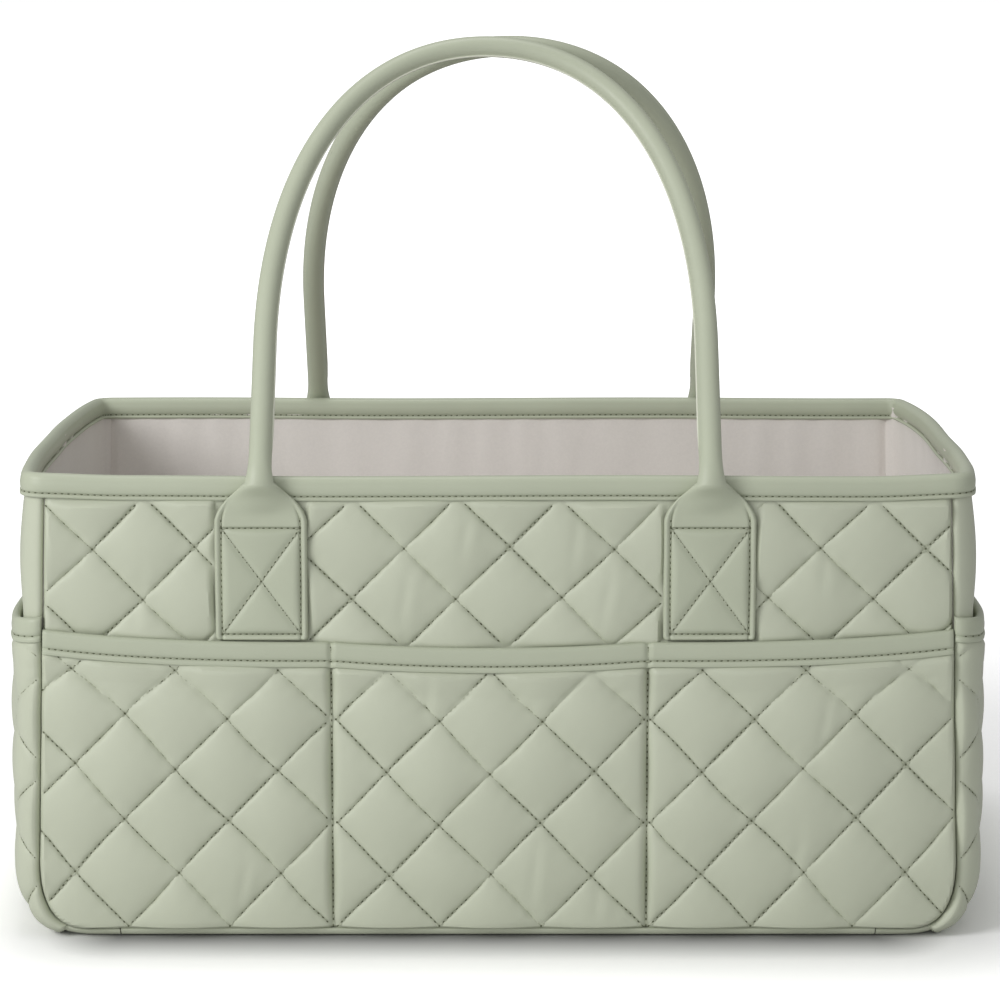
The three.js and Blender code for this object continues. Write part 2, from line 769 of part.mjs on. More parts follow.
function handleTab(middle) {
  const bottom = pocket_height + tab_gap_above_pocket;
  const shoulder = bottom + tab_height;
  const face = skin_y + tab_lift + tab_thickness;
  const neckFace = face - neck_setback;
  const reach = handle_radius + clearance;
  const top = hinge_z - Math.sqrt(reach ** 2 - (hinge_y - neckFace) ** 2);
  const boxRows = box_row_shares.map((share) => ({ z: lerp(bottom, shoulder, share), width: tab_width, full: 0 }));
  const flareRows = flare_rows_shares.map(([rise, width, full]) => ({
    z: lerp(shoulder, top, rise), width: lerp(neck_width, tab_width, width), full, rise,
  }));
  const rows = [...boxRows, ...flareRows];
  const box = tab_width / 2 - tab_stitch_inset;
  const middleHeight = (bottom + shoulder) / 2;
  const boxPuff = (u, row) => {
    const a = u * tab_width / 2 / (2 * box);
    const b = (row.z - middleHeight) / (tab_height - 2 * tab_stitch_inset);
    const inside = Math.abs(a) < 1 / 2 && Math.abs(b) < 1 / 2;
    return inside ? tab_puff * puff(a, b) / quilt_loft : 0;
  };
  const vs = evenShares(rows.length - 1);
  const rowAt = (v) => rows[Math.round(v * (rows.length - 1))];
  const front = (u, row) => {
    const setback = neck_setback * (row.rise ?? 0);
    return face - setback + tab_crown * row.full * (1 - u * u) + boxPuff(u, row);
  };
  const outerPoint = (u, v) => {
    const row = rowAt(v);
    return new THREE.Vector3(middle + u * row.width / 2, -front(u, row), row.z);
  };
  const innerPoint = (u, v) => {
    const row = rowAt(v);
    const overRim = clamp((row.z - shoulder) / (rim_lip - clearance - shoulder), 0, 1);
    const y = lerp(skin_y + tab_lift, body_depth / 2 + clearance, overRim);
    return new THREE.Vector3(middle + u * row.width / 2, -y, row.z);
  };
  return sheet({ us: tab_column_shares, vs, point: outerPoint }, { us: [-1, 1], vs, point: innerPoint });
}

// The handle lies in a plane that leans in from the hinge line until the two handles touch at the top
const handle_rest_y = handle_radius + clearance / 2;
const lean = Math.asin((hinge_y - handle_rest_y) / handle_reach);
const arch_grip_share = 0.61;
const arch_top_share = 0.605;

// Stations along the middle of a handle, in its own plane, from the left leg over to the right
function handleStations(overrun, balled) {
  const half = handle_spacing / 2;
  const arch = new THREE.CubicBezierCurve(
    new THREE.Vector2(half, handle_straight),
    new THREE.Vector2(half, lerp(handle_straight, handle_reach, arch_grip_share)),
    new THREE.Vector2(half * arch_top_share, handle_reach),
    new THREE.Vector2(0, handle_reach),
  );
  const up = new THREE.Vector2(0, 1);
  const side = [];
  if (balled) {
    for (let step = ball_steps; step >= 1; step -= 1) {
      const angle = quarter * step / (ball_steps + 1 / 2);
      const place = new THREE.Vector2(half, -handle_radius * Math.sin(angle));
      side.push({ place, along: up, scale: Math.cos(angle) });
    }
  } else {
    side.push({ place: new THREE.Vector2(half, -overrun), along: up, scale: 1 });
  }
  if (balled) {
    side.push({ place: new THREE.Vector2(half, 0), along: up, scale: 1 });
  }
  evenShares(arch_steps).forEach((share) => {
    side.push({ place: arch.getPoint(share), along: arch.getTangent(share), scale: 1 });
  });
  const other = side.slice(0, -1).reverse().map(({ place, along, scale }) => ({
    place: new THREE.Vector2(-place.x, place.y), along: new THREE.Vector2(along.x, -along.y), scale,
  }));
  return [...side, ...other];
}

// A round bar along the handle
function handleBar(radius, sides, overrun, balled) {
  const circle = Array.from({ length: sides }, (_, i) => {
    const angle = 4 * quarter * i / sides;
    return new THREE.Vector2(radius * Math.cos(angle), radius * Math.sin(angle));
  });
  return sweep(circle, handleStations(overrun, balled), ({ place, along, scale }, point) => {
    const across = place.x + along.y * point.x * scale;
    const upwards = place.y - along.x * point.x * scale;
    const proud = point.y * scale;
    return new THREE.Vector3(
      handle_offset + across,
      upwards * Math.sin(lean) - proud * Math.cos(lean) - hinge_y,
      hinge_z + upwards * Math.cos(lean) + proud * Math.sin(lean),
    );
  });
}

// Handle cover: a tube with ball ends that roll on the necks of the tabs
function handleCover() {
  const bore = handle_core_diameter / 2 + clearance;
  const outside = toManifold(handleBar(handle_radius, handle_sides, 0, true));
  const inside = toManifold(handleBar(bore, core_sides, 2 * handle_radius, false));
  return fromManifold(outside.subtract(inside));
}

function handleCore() {
  return handleBar(handle_core_diameter / 2, core_sides, 0, false);
}

// Left divider: a padded board with stitched channels, bound all round
const divider_bottom = floor_height + clearance;
const divider_fold_width = divider_edge_thickness + 2 * (clearance + binding_thickness);

// The divider leaves room for its flap and the loop tape, with one clearance on the lining,
// two between the tapes and one beside the flap
const divider_half_depth = inside_y - 2 * flap_thickness - 4 * clearance;

function dividerPanel() {
  const edge = divider_fold_width / 2;
  const half = divider_half_depth - edge;
  const low = divider_bottom + edge;
  const high = divider_bottom + divider_height - edge;
  const radius = divider_corner_radius - edge;
  const channels = Math.max(1, Math.round(2 * (half - radius) / divider_channel));
  const inner = evenShares(2 * channels).map((share) => lerp(radius - half, half - radius, share));
  const columns = [-half, ...inner, half];
  const corner = evenShares(plate_steps + 1).map((share) => radius * (1 - Math.cos(quarter * share)));
  const rows = [
    ...corner.map((rise) => low + rise), low + 2 * radius,
    high - 2 * radius, ...corner.map((rise) => high - rise).reverse(),
  ];
  const us = columns.map((y) => (y + half) / (2 * half));
  const vs = rows.map((z) => (z - low) / (high - low));
  const face = (side) => (u, v) => {
    const z = lerp(low, high, v);
    const fromEnd = Math.min(z - low, high - z);
    const cut = fromEnd < radius ? radius - Math.sqrt(radius ** 2 - (radius - fromEnd) ** 2) : 0;
    const column = Math.round((lerp(-half, half, u) - columns[1]) * channels / (half - radius));
    const full = column % 2 === 1 && u < us[us.length - 2] && fromEnd > radius + clearance;
    const out = divider_edge_thickness / 2 + (full ? divider_crown : 0);
    const y = lerp(-(half - cut), half - cut, u);
    return new THREE.Vector3(side * out - divider_place, y, z);
  };
  return sheet({ us, vs, point: face(-1) }, { us, vs, point: face(1) });
}

function dividerBinding() {
  const section = foldSection(divider_fold_width, binding_drop, binding_thickness, tape_fold_steps);
  const loop = roundedLoop(divider_half_depth, divider_height / 2, divider_corner_radius, edge_steps);
  const middle = divider_bottom + divider_height / 2;
  return sweep(section, loop, ({ place, out }, { x: across, y: up }) => {
    const inward = binding_drop - up;
    return new THREE.Vector3(
      across - divider_fold_width / 2 - divider_place,
      place.x - out.x * inward,
      middle + place.y - out.y * inward,
    );
  }, true);
}

// Flap with hook tape on an end of the divider, and the loop tape that it grips on the lining.
// Both reach outwards from the divider, clear of the handles when it is lifted.
const flap_inner_x = divider_place - divider_fold_width / 2;
const flap_low = divider_bottom + flap_rise;

function dividerFlap(side) {
  const low = new THREE.Vector2(-flap_inner_x - flap_width, flap_low);
  const high = new THREE.Vector2(-flap_inner_x, flap_low + flap_height);
  const outer = divider_half_depth + clearance + flap_thickness;
  const geometry = frontPlate(plateShape(low, high, flap_corner_radius), outer, flap_thickness);
  return side < 0 ? geometry : movedToBack(geometry, outer, flap_thickness);
}

function loopTape(side) {
  const low = new THREE.Vector2(-flap_inner_x - flap_width - loop_margin, flap_low - loop_margin);
  const high = new THREE.Vector2(-flap_inner_x + loop_margin, flap_low + flap_height + loop_margin);
  const outer = inside_y - clearance;
  const geometry = frontPlate(plateShape(low, high, flap_corner_radius), outer, flap_thickness);
  return side < 0 ? geometry : movedToBack(geometry, outer, flap_thickness);
}

// Moves a front plate of the given thickness from the front wall to the back wall
function movedToBack(geometry, outerY, thickness) {
  return geometry.clone().translate(0, 2 * outerY - thickness, 0);
}

// Stiffener boards and flat linings
function frontBoard() {
  return frontPlate(seamShape(skin_layer.seam, board_top, board_inset), board_y, board_thickness);
}

// The end board bows with the end, and its corners are cut off
function endBoard() {
  const edge = edgeShares(skin_layer)[edge_steps];
  const corner = board_corner_radius / acrossLength(skin_layer);
  const us = [edge, edge + corner, ...bowShares(skin_layer), 1 - edge - corner, 1 - edge];
  const vs = [0, 1];
  const cut = (u) => board_corner_radius * clamp(1 - (Math.min(u, 1 - u) - edge) / corner, 0, 1);
  const face = (offset) => (u, v) => {
    const z = lerp(base_corner_radius + cut(u), board_top - cut(u), v);
    return endPoint(skin_layer, u, station(z), offset);
  };
  const outer = -(skin_thickness + clearance);
  return sheet({ us, vs, point: face(outer) }, { us, vs, point: face(outer - board_thickness) });
}

function baseBoard() {
  const half = new THREE.Vector2(skin_layer.crown.lowX - base_corner_radius, flat_half_depth);
  const geometry = new THREE.ExtrudeGeometry(plateShape(half.clone().negate(), half, board_corner_radius), {
    depth: base_board_thickness, bevelEnabled: false, curveSegments: plate_steps,
  });
  geometry.translate(0, 0, base_board_bottom);
  return geometry;
}

function frontLining() {
  return frontPlate(seamShape(lining_layer.seam, wall_top, clearance), lining_y, lining_thickness);
}

// Assembly
const caddy = new THREE.Group();
const front = new THREE.Group();
const back = new THREE.Group();
back.rotation.z = Math.PI;
caddy.add(front, back);

function part(group, name, geometry, material) {
  const mesh = new THREE.Mesh(geometry, material);
  mesh.name = name;
  group.add(mesh);
}

part(caddy, 'base_panel', baseStrip(skin_layer, skin_thickness), finishes.leather);
part(caddy, 'base_board', baseBoard(), finishes.board);
part(caddy, 'base_lining', baseStrip(lining_layer, lining_thickness), finishes.lining);
part(caddy, 'rim_binding', rimBinding(), finishes.tape);

// Each half holds one long face and one end: the front with the left end, the back with the right
const halves = [
  { group: front, face: 'front', end: 'left', otherFace: 'back', otherEnd: 'right' },
  { group: back, face: 'back', end: 'right', otherFace: 'front', otherEnd: 'left' },
];
halves.forEach(({ group, face, end, otherFace, otherEnd }) => {
  part(group, `${face}_panel`, frontPanel(), finishes.leather);
  part(group, `${face}_board`, frontBoard(), finishes.board);
  part(group, `${face}_lining`, frontLining(), finishes.lining);
  part(group, `${face}_pocket`, frontPocket(), finishes.leather);
  part(group, `${face}_pocket_binding`, frontPocketBinding(), finishes.tape);
  part(group, `${face}_${end}_tab`, handleTab(tab_places[0]), finishes.tape);
  part(group, `${face}_${otherEnd}_tab`, handleTab(tab_places[1]), finishes.tape);
  part(group, `${face}_handle_cover`, handleCover(), finishes.tape);
  part(group, `${face}_handle_core`, handleCore(), finishes.rope);
  part(group, `${end}_end_panel`, endStrip(skin_layer, skin_thickness), finishes.leather);
  part(group, `${end}_board`, endBoard(), finishes.board);
  part(group, `${end}_lining`, endStrip(lining_layer, lining_thickness), finishes.lining);
  part(group, `${end}_pocket`, endPocket(), finishes.leather);
  part(group, `${end}_pocket_binding`, endPocketBinding(), finishes.tape);
  part(group, `${end}_divider_panel`, dividerPanel(), finishes.lining);
  part(group, `${end}_divider_binding`, dividerBinding(), finishes.tape);
  [[-1, face], [1, otherFace]].forEach(([side, where]) => {
    part(group, `${end}_divider_${where}_flap`, dividerFlap(side), finishes.fastener);
    part(group, `${end}_${where}_loop_tape`, loopTape(side), finishes.fastener);
  });
});

export default caddy;
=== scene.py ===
"""Quilted diaper caddy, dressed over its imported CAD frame.

All lengths are in metres. X is the length of the caddy, Y goes from front to back and Z is up.
The front half, which is the front face with the left end, is modelled once. The back half is the
same work turned half a turn, as the real caddy is sewn from two equal halves.
"""

import json
import logging
import math
from contextlib import contextmanager
from dataclasses import dataclass, replace
from enum import Enum
from typing import Callable, Iterator, Optional, Sequence

import bpy
import numpy as np
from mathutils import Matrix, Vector


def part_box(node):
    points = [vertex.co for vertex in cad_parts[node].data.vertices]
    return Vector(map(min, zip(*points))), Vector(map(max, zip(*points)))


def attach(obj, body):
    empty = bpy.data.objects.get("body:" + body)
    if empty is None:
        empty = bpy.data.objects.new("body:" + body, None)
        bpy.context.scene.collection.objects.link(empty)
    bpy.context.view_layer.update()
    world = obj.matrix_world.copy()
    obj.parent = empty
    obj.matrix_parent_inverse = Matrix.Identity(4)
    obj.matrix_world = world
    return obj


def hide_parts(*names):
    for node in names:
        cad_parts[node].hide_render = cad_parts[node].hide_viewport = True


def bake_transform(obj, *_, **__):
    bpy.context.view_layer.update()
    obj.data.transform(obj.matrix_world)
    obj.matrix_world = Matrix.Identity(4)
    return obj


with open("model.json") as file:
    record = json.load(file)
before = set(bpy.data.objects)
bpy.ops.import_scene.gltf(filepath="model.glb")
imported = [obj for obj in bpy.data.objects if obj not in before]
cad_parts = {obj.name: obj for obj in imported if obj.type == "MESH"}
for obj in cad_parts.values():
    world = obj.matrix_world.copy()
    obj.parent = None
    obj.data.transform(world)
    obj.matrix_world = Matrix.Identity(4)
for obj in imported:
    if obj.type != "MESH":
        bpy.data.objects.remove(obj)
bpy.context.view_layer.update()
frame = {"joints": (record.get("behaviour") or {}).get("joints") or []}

log = logging.getLogger("caddy")

Array = np.ndarray
Surface = Callable[[Array, Array], Array]
Color = tuple[float, float, float]
Socket = bpy.types.NodeSocket
Model = bpy.types.Object

WELD_GAP = 1e-5
POLE_GAP = 2e-6
SEAM_FADE = (-0.0006, 0.0018)
LIP_FADE = (-0.001, 0.0022)
SEW_MARGIN = 0.0004
SEAM_COLUMNS = np.array([0, 0.0003, 0.0008, 0.0014, 0.0021, 0.003, 0.005, 0.007])
HALF_TURN = (-1, -1, 1)


class Crease(Enum):
    """The angle in degrees over which an edge stays sharp, by what it is on."""

    QUILT = 34
    PLATE = 40
    SHEET = 50
    THREAD = 60


class Body(Enum):
    """The CAD bodies that a piece can ride on."""

    CADDY = "caddy_body"
    FRONT_HANDLE = "front_handle"
    BACK_HANDLE = "back_handle"
    LEFT_DIVIDER = "left_divider"
    RIGHT_DIVIDER = "right_divider"


class Form(Enum):
    """How a soft piece is made up."""

    TAPE = "tape"
    PAD = "pad"
    SHEET = "sheet"


def lerp(low: Array, high: Array, share: Array) -> Array:
    """Return the value at a share of the way from low to high."""
    return low + (high - low) * share


def ease(low: float, high: float, value: Array) -> Array:
    """Return 0 below low and 1 above high, with a smooth rise between them."""
    share = np.clip((value - low) / (high - low), 0, 1)
    return share * share * (3 - 2 * share)


def bump(value: Array, width: float) -> Array:
    """Return a bell of height 1 at 0 with the given half-width."""
    return np.exp(-(value / width) ** 2)


@dataclass(frozen=True)
class Ripple:
    """The soft unevenness of a sewn sheet, as the product of two waves.

    Each wave is given by its angles per metre along and up the sheet and its angle at the origin, and
    the first sways by an angle at a number of angles per metre up.
    """

    height: float
    first: tuple[float, float, float]
    second: tuple[float, float, float]
    sway: tuple[float, float] = (0.0, 0.0)

    def at(self, x: Array, z: Array) -> Array:
        """Return the relief at a place, from -height to height."""
        swayed = self.sway[0] * np.sin(self.sway[1] * z)
        (along, up, start), (other_along, other_up, other_start) = self.first, self.second
        return (self.height * np.sin(along * x + up * z + start + swayed)
                * np.sin(other_along * x + other_up * z + other_start))

    def raised(self, x: Array, z: Array) -> Array:
        """Return the relief at a place, from 0 to twice the height."""
        return self.height + self.at(x, z)


def drift(x: Array, z: Array, free: Array) -> tuple[Array, Array]:
    """Return places a little off, as seams wander when they are sewn by hand.

    Args:
        x: places along the sheet.
        z: places up the sheet.
        free: 0 where the sheet is held at an edge, to 1 where it is free.
    """
    right = 0.0006 * np.sin(z * 83 + 1.9 * np.sin(x * 29 + 0.4))
    up = 0.0005 * np.sin(x * 61 + 1.7 * np.sin(z * 37 + 1.1))
    return x + free * right, z + free * up


def creases(x: Array, z: Array, places: Sequence[tuple[float, float, float]]) -> Array:
    """Return the relief of soft upright creases, each given by its X, its Z and its length."""
    slant, sway, sway_pitch = 0.06, 0.0007, 150
    ridge, ridge_place, ridge_width = 0.00022, 0.0034, 0.0028
    valley, valley_width = 0.00036, 0.0023
    relief = np.zeros_like(x)
    for middle_x, middle_z, length in places:
        up = z - middle_z
        beside = x - middle_x - slant * up - sway * np.sin(up * sway_pitch)
        fold = ridge * bump(beside - ridge_place, ridge_width) - valley * bump(beside, valley_width)
        relief += fold * bump(up, length / 2)
    return relief


def linear(red: int, green: int, blue: int) -> Color:
    """Return the linear colour of an 8-bit screen colour."""
    shares = np.array([red, green, blue]) / 255
    curved = ((shares + 0.055) / 1.055) ** 2.4
    return tuple(float(share) for share in np.where(shares > 0.04045, curved, shares / 12.92))


class Tree:
    """A node tree, with short calls to add and join nodes."""

    def __init__(self, owner: bpy.types.Material | bpy.types.World) -> None:
        """Turn on the nodes of a material or world."""
        owner.use_nodes = True
        self.tree = owner.node_tree

    def add(self, kind: str, **settings: object) -> bpy.types.Node:
        """Add a node.

        Args:
            kind: Blender's name for the node type.
            settings: attributes of the node, or values of its inputs by name.

        Returns:
            The node.
        """
        node = self.tree.nodes.new(kind)
        for name, value in settings.items():
            if hasattr(node, name):
                setattr(node, name, value)
            else:
                node.inputs[name.replace("_", " ").title()].default_value = value
        return node

    def join(self, source: Socket, target: Socket) -> None:
        """Link an output socket to an input socket."""
        self.tree.links.new(source, target)

    def for_camera(self, others: float) -> bpy.types.Node:
        """Add a node whose result is To Max for the camera and a value for all other rays."""
        path = self.add("ShaderNodeLightPath")
        choice = self.add("ShaderNodeMapRange", to_min=others)
        self.join(path.outputs["Is Camera Ray"], choice.inputs["Value"])
        return choice


class Nodes(Tree):
    """The node tree of one of the caddy's materials."""

    def __init__(self, name: str) -> None:
        """Start a new material with its Principled shader.

        Args:
            name: name of the material.
        """
        self.material = bpy.data.materials.new(name)
        super().__init__(self.material)
        self.shader = self.tree.nodes["Principled BSDF"]
        self.place = self.add("ShaderNodeTexCoord").outputs["Object"]

    def noise(self, scale: float, detail: float) -> Socket:
        """Return the strength of a noise with scale cells per metre."""
        node = self.add("ShaderNodeTexNoise", Scale=scale, Detail=detail)
        self.join(self.place, node.inputs["Vector"])
        return node.outputs["Fac"]

    def mottle(self, color: Color, spread: float, source: Socket) -> Socket:
        """Return a colour that a source takes from a little darker to a little lighter."""
        mix = self.add("ShaderNodeMix", data_type="RGBA")
        darker, lighter = [socket for socket in mix.inputs if socket.type == "RGBA"]
        darker.default_value = (*(c * (1 - spread) for c in color), 1)
        lighter.default_value = (*(min(1.0, c * (1 + spread)) for c in color), 1)
        self.join(source, mix.inputs["Factor"])
        return next(socket for socket in mix.outputs if socket.type == "RGBA")

    def span(self, source: Socket, low: float, high: float) -> Socket:
        """Return a source that runs from 0 to 1 stretched to run from low to high."""
        node = self.add("ShaderNodeMapRange", to_min=low, to_max=high)
        self.join(source, node.inputs["Value"])
        return node.outputs["Result"]

    def waves(self, direction: str, pitch: float, distortion: float, **settings: object) -> Socket:
        """Return the strength of straight waves with a pitch in metres across a direction."""
        wave = self.add("ShaderNodeTexWave", wave_type="BANDS", bands_direction=direction,
                        Scale=0.05 * math.tau / pitch, Distortion=distortion, **settings)
        self.join(self.place, wave.inputs["Vector"])
        return wave.outputs["Fac"]

    def relief(self, height: Socket, strength: float, distance: float,
               under: Optional[Socket] = None) -> Socket:
        """Return a normal bent by a height.

        Args:
            height: the height, from 0 to 1.
            strength: how strongly it shows, from 0 to 1.
            distance: the height's full rise in metres.
            under: a normal that is bent already, where there is one.
        """
        node = self.add("ShaderNodeBump", strength=strength, distance=distance)
        self.join(height, node.inputs["Height"])
        if under is not None:
            self.join(under, node.inputs["Normal"])
        return node.outputs["Normal"]

    def dress(self, normal: Socket, color: Socket, values: dict[str, float]) -> bpy.types.Material:
        """Join a normal and a colour to the shader and set its plain values.

        Args:
            normal: the normal.
            color: the base colour.
            values: the shader's other values, by the names of its inputs.

        Returns:
            The finished material.
        """
        self.join(normal, self.shader.inputs["Normal"])
        self.join(color, self.shader.inputs["Base Color"])
        for name, value in values.items():
            self.shader.inputs[name].default_value = value
        return self.material


@dataclass(frozen=True)
class Leather:
    """Smooth coated leather with a fine pebble grain."""

    name: str
    color: Color
    roughness: float = 0.46
    grain: float = 0.0007
    depth: float = 0.00005

    def material(self) -> bpy.types.Material:
        """Return the leather as a node material."""
        nodes = Nodes(self.name)
        cells = nodes.add("ShaderNodeTexVoronoi", feature="DISTANCE_TO_EDGE", Scale=1 / self.grain)
        nodes.join(nodes.place, cells.inputs["Vector"])
        pebbles = nodes.relief(nodes.span(cells.outputs["Distance"], 0, 2.2), 0.32, self.depth)
        wrinkles = nodes.relief(nodes.noise(160, 4), 0.35, self.depth * 5, pebbles)
        worn = nodes.span(nodes.noise(600, 3), self.roughness - 0.06, self.roughness + 0.08)
        nodes.join(worn, nodes.shader.inputs["Roughness"])
        color = nodes.mottle(self.color, 0.035, nodes.noise(42, 5))
        return nodes.dress(wrinkles, color, {"Specular IOR Level": 0.36})


@dataclass(frozen=True)
class Cloth:
    """Plain woven cloth, with threads across and along it."""

    name: str
    color: Color
    thread: float = 0.0005
    depth: float = 0.00012

    def material(self) -> bpy.types.Material:
        """Return the cloth as a node material."""
        nodes = Nodes(self.name)
        height, *others = [nodes.waves(direction, self.thread, 0.6, Detail=1.0) for direction in "XYZ"]
        for other in others:
            product = nodes.add("ShaderNodeMath", operation="MULTIPLY")
            nodes.join(height, product.inputs[0])
            nodes.join(other, product.inputs[1])
            height = product.outputs[0]
        color = nodes.mottle(self.color, 0.05, nodes.noise(900, 4))
        values = {"Roughness": 0.92, "Specular IOR Level": 0.15, "Sheen Weight": 0.12}
        return nodes.dress(nodes.relief(height, 0.5, self.depth), color, values)


@dataclass(frozen=True)
class Thread:
    """Twisted sewing thread, or rope where the twist is coarse."""

    name: str
    color: Color
    twist: float = 0.0004

    def material(self) -> bpy.types.Material:
        """Return the thread as a node material."""
        nodes = Nodes(self.name)
        strands = nodes.waves("DIAGONAL", self.twist, 0.4)
        normal = nodes.relief(strands, 0.4, self.twist / 5)
        # The colour follows the strands: lighter on their crowns and darker in the grooves between them,
        # which is painted shade.
        return nodes.dress(normal, nodes.mottle(self.color, 0.06, strands), {"Roughness": 0.7})


@dataclass(frozen=True)
class Nap:
    """A matt surface with a fine nap, such as loop tape, a needle hole's shade or pressed board."""

    name: str
    color: Color
    size: float = 0.0008
    depth: float = 0.0004

    def material(self) -> bpy.types.Material:
        """Return the nap as a node material."""
        nodes = Nodes(self.name)
        tufts = nodes.noise(1 / self.size, 6)
        # The colour follows the tufts: lighter where they stand up and darker in the hollows between them,
        # which is painted shade.
        color = nodes.mottle(self.color, 0.12, tufts)
        values = {"Roughness": 0.97, "Specular IOR Level": 0.1}
        return nodes.dress(nodes.relief(tufts, 0.7, self.depth), color, values)


class Finish(Enum):
    """The finishes of the caddy, each with its slot in the record."""

    SKIN = (Leather("skin_leather", linear(191, 196, 176)), "faux_leather")
    TAPE = (Leather("tape_leather", linear(181, 187, 166), roughness=0.42), "binding_tape")
    # The welt's pale colour is partly the seam's lighter cut edge and partly a painted highlight along the
    # handle's seam ridge.
    WELT = (Leather("welt_leather", linear(216, 218, 203), roughness=0.5), "binding_tape")
    LINING = (Cloth("lining_cloth", linear(231, 226, 221)), "lining_cloth")
    FASTENER = (Nap("hook_and_loop", linear(168, 174, 152)), "hook_and_loop")
    BOARD = (Nap("stiffener_board", linear(156, 150, 138), size=0.002, depth=0.0001), "stiffener_board")
    ROPE = (Thread("rope_core", linear(230, 226, 216), twist=0.004), "rope_core")
    THREAD = (Thread("sewing_thread", linear(172, 177, 155)), "faux_leather")
    # A flat dark dome at each needle hole, whose colour paints the shade in the hole.
    HOLE = (Nap("needle_hole", linear(98, 102, 82), size=0.0005, depth=0.0001), "faux_leather")

    @property
    def slot(self) -> str:
        """Return the record's material slot."""
        return self.value[1]


class Finishes:
    """Makes each finish's material once, when it is first asked for."""

    made: dict[Finish, bpy.types.Material] = {}

    @classmethod
    def get(cls, finish: Finish) -> bpy.types.Material:
        """Return the material of a finish."""
        if finish not in cls.made:
            cls.made[finish] = finish.value[0].material()
        return cls.made[finish]


@dataclass
class Piece:
    """One finished piece and what it stands for."""

    shape: Model
    finish: Finish
    body: Body = Body.CADDY
    replaces: tuple[str, ...] = ()
    form: Form = Form.TAPE
    flat: tuple[float, float] = (0.0, 0.0)
    rests_on: tuple[str, ...] = ()
    blend: Optional[tuple[Body, Vector, Vector]] = None

    def attach(self) -> None:
        """Join the piece to its body, or bake a blended piece's place into its points, and hide what it
        replaces.
        """
        if self.blend:
            body, start, end = self.blend
            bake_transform(self.shape, self.body.value, body.value, start=tuple(start), end=tuple(end))
        else:
            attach(self.shape, self.body.value)
        if self.replaces:
            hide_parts(*self.replaces)
        self.finish.slot
        if self.form is Form.SHEET:
            list(self.rests_on)
        log.info("%s on %s: %d faces", self.shape.name, self.body.value, len(self.shape.data.polygons))


def only(shape: Model) -> None:
    """Select one object and make it active."""
    bpy.ops.object.select_all(action="DESELECT")
    shape.select_set(True)
    bpy.context.view_layer.objects.active = shape


@contextmanager
def editing(shape: Model, whole: bool = True) -> Iterator[None]:
    """Open one object in edit mode, with the whole of it selected or as it was, and close it again."""
    only(shape)
    bpy.ops.object.mode_set(mode="EDIT")
    if whole:
        bpy.ops.mesh.select_all(action="SELECT")
    yield
    bpy.ops.object.mode_set(mode="OBJECT")


def coordinates(shape: Model) -> Array:
    """Return the points of a mesh object, one row each."""
    flat = np.empty(len(shape.data.vertices) * 3)
    shape.data.vertices.foreach_get("co", flat)
    return flat.reshape(-1, 3)


def move_points(shape: Model, points: Array) -> None:
    """Put the points of a mesh object at new places."""
    shape.data.vertices.foreach_set("co", np.asarray(points, np.float32).ravel())
    shape.data.update()


def select_faces(shape: Model, chosen: Array) -> None:
    """Select the faces of a mesh object that a mask names, and nothing else."""
    only(shape)
    bpy.context.tool_settings.mesh_select_mode = (False, False, True)
    mesh = shape.data
    mesh.vertices.foreach_set("select", np.zeros(len(mesh.vertices), bool))
    mesh.edges.foreach_set("select", np.zeros(len(mesh.edges), bool))
    mesh.polygons.foreach_set("select", np.asarray(chosen, bool))


def apply_modifier(shape: Model, kind: str, **settings: object) -> None:
    """Add a modifier to an object and apply it."""
    only(shape)
    modifier = shape.modifiers.new(kind.title(), kind)
    for name, value in settings.items():
        setattr(modifier, name, value)
    bpy.ops.object.modifier_apply(modifier=modifier.name)


def paint(shape: Model, *finishes: Finish) -> None:
    """Give an object its materials."""
    shape.data.materials.clear()
    for finish in finishes:
        shape.data.materials.append(Finishes.get(finish))


def complete(shape: Model, crease: Crease, *finishes: Finish) -> Model:
    """Shade an object smooth, apart from its creases, and give it its materials."""
    only(shape)
    bpy.ops.object.shade_smooth_by_angle(angle=math.radians(crease.value))
    paint(shape, *finishes)
    return shape


def flat_grid(name: str, columns: Array, rows: Array) -> Model:
    """Add a grid in the plane of X and Z, with a line of points at each column and row.

    Args:
        name: name of the new object.
        columns: the columns' places along X.
        rows: the rows' places along Z.

    Returns:
        The grid, which faces the front.
    """
    bpy.ops.object.select_all(action="DESELECT")
    bpy.ops.mesh.primitive_grid_add(x_subdivisions=len(columns) - 1, y_subdivisions=len(rows) - 1, size=1)
    grid = bpy.context.object
    grid.name = grid.data.name = name
    start = coordinates(grid)
    across = np.rint((start[:, 0] + 0.5) * (len(columns) - 1)).astype(int)
    up = np.rint((start[:, 1] + 0.5) * (len(rows) - 1)).astype(int)
    points = np.column_stack([np.asarray(columns)[across], np.zeros(len(start)), np.asarray(rows)[up]])
    move_points(grid, points)
    return grid


def split_cells(grid: Model, height: Surface) -> None:
    """Split each cell of a flat grid along its diagonal on a seam, or else along its fuller one.

    Args:
        grid: a grid from flat_grid.
        height: how proud the padding stands at a place, which is 0 on a seam.
    """
    points = coordinates(grid)
    loops = np.empty(len(grid.data.polygons) * 4, int)
    grid.data.polygons.foreach_get("vertices", loops)
    corners = points[loops.reshape(-1, 4)][:, :, [0, 2]]
    proud = height(corners[:, :, 0], corners[:, :, 1])
    even, odd = proud[:, [0, 2]], proud[:, [1, 3]]
    seam_even = even.max(axis=1) < WELD_GAP
    seam_odd = odd.max(axis=1) < WELD_GAP
    chosen = seam_even | (~seam_odd & (even.sum(axis=1) >= odd.sum(axis=1)))
    for method in ("FIXED", "FIXED_ALTERNATE"):
        select_faces(grid, chosen)
        with editing(grid, whole=False):
            bpy.ops.mesh.quads_convert_to_tris(quad_method=method)
        sizes = np.empty(len(grid.data.polygons), int)
        grid.data.polygons.foreach_get("loop_total", sizes)
        chosen = sizes == 4


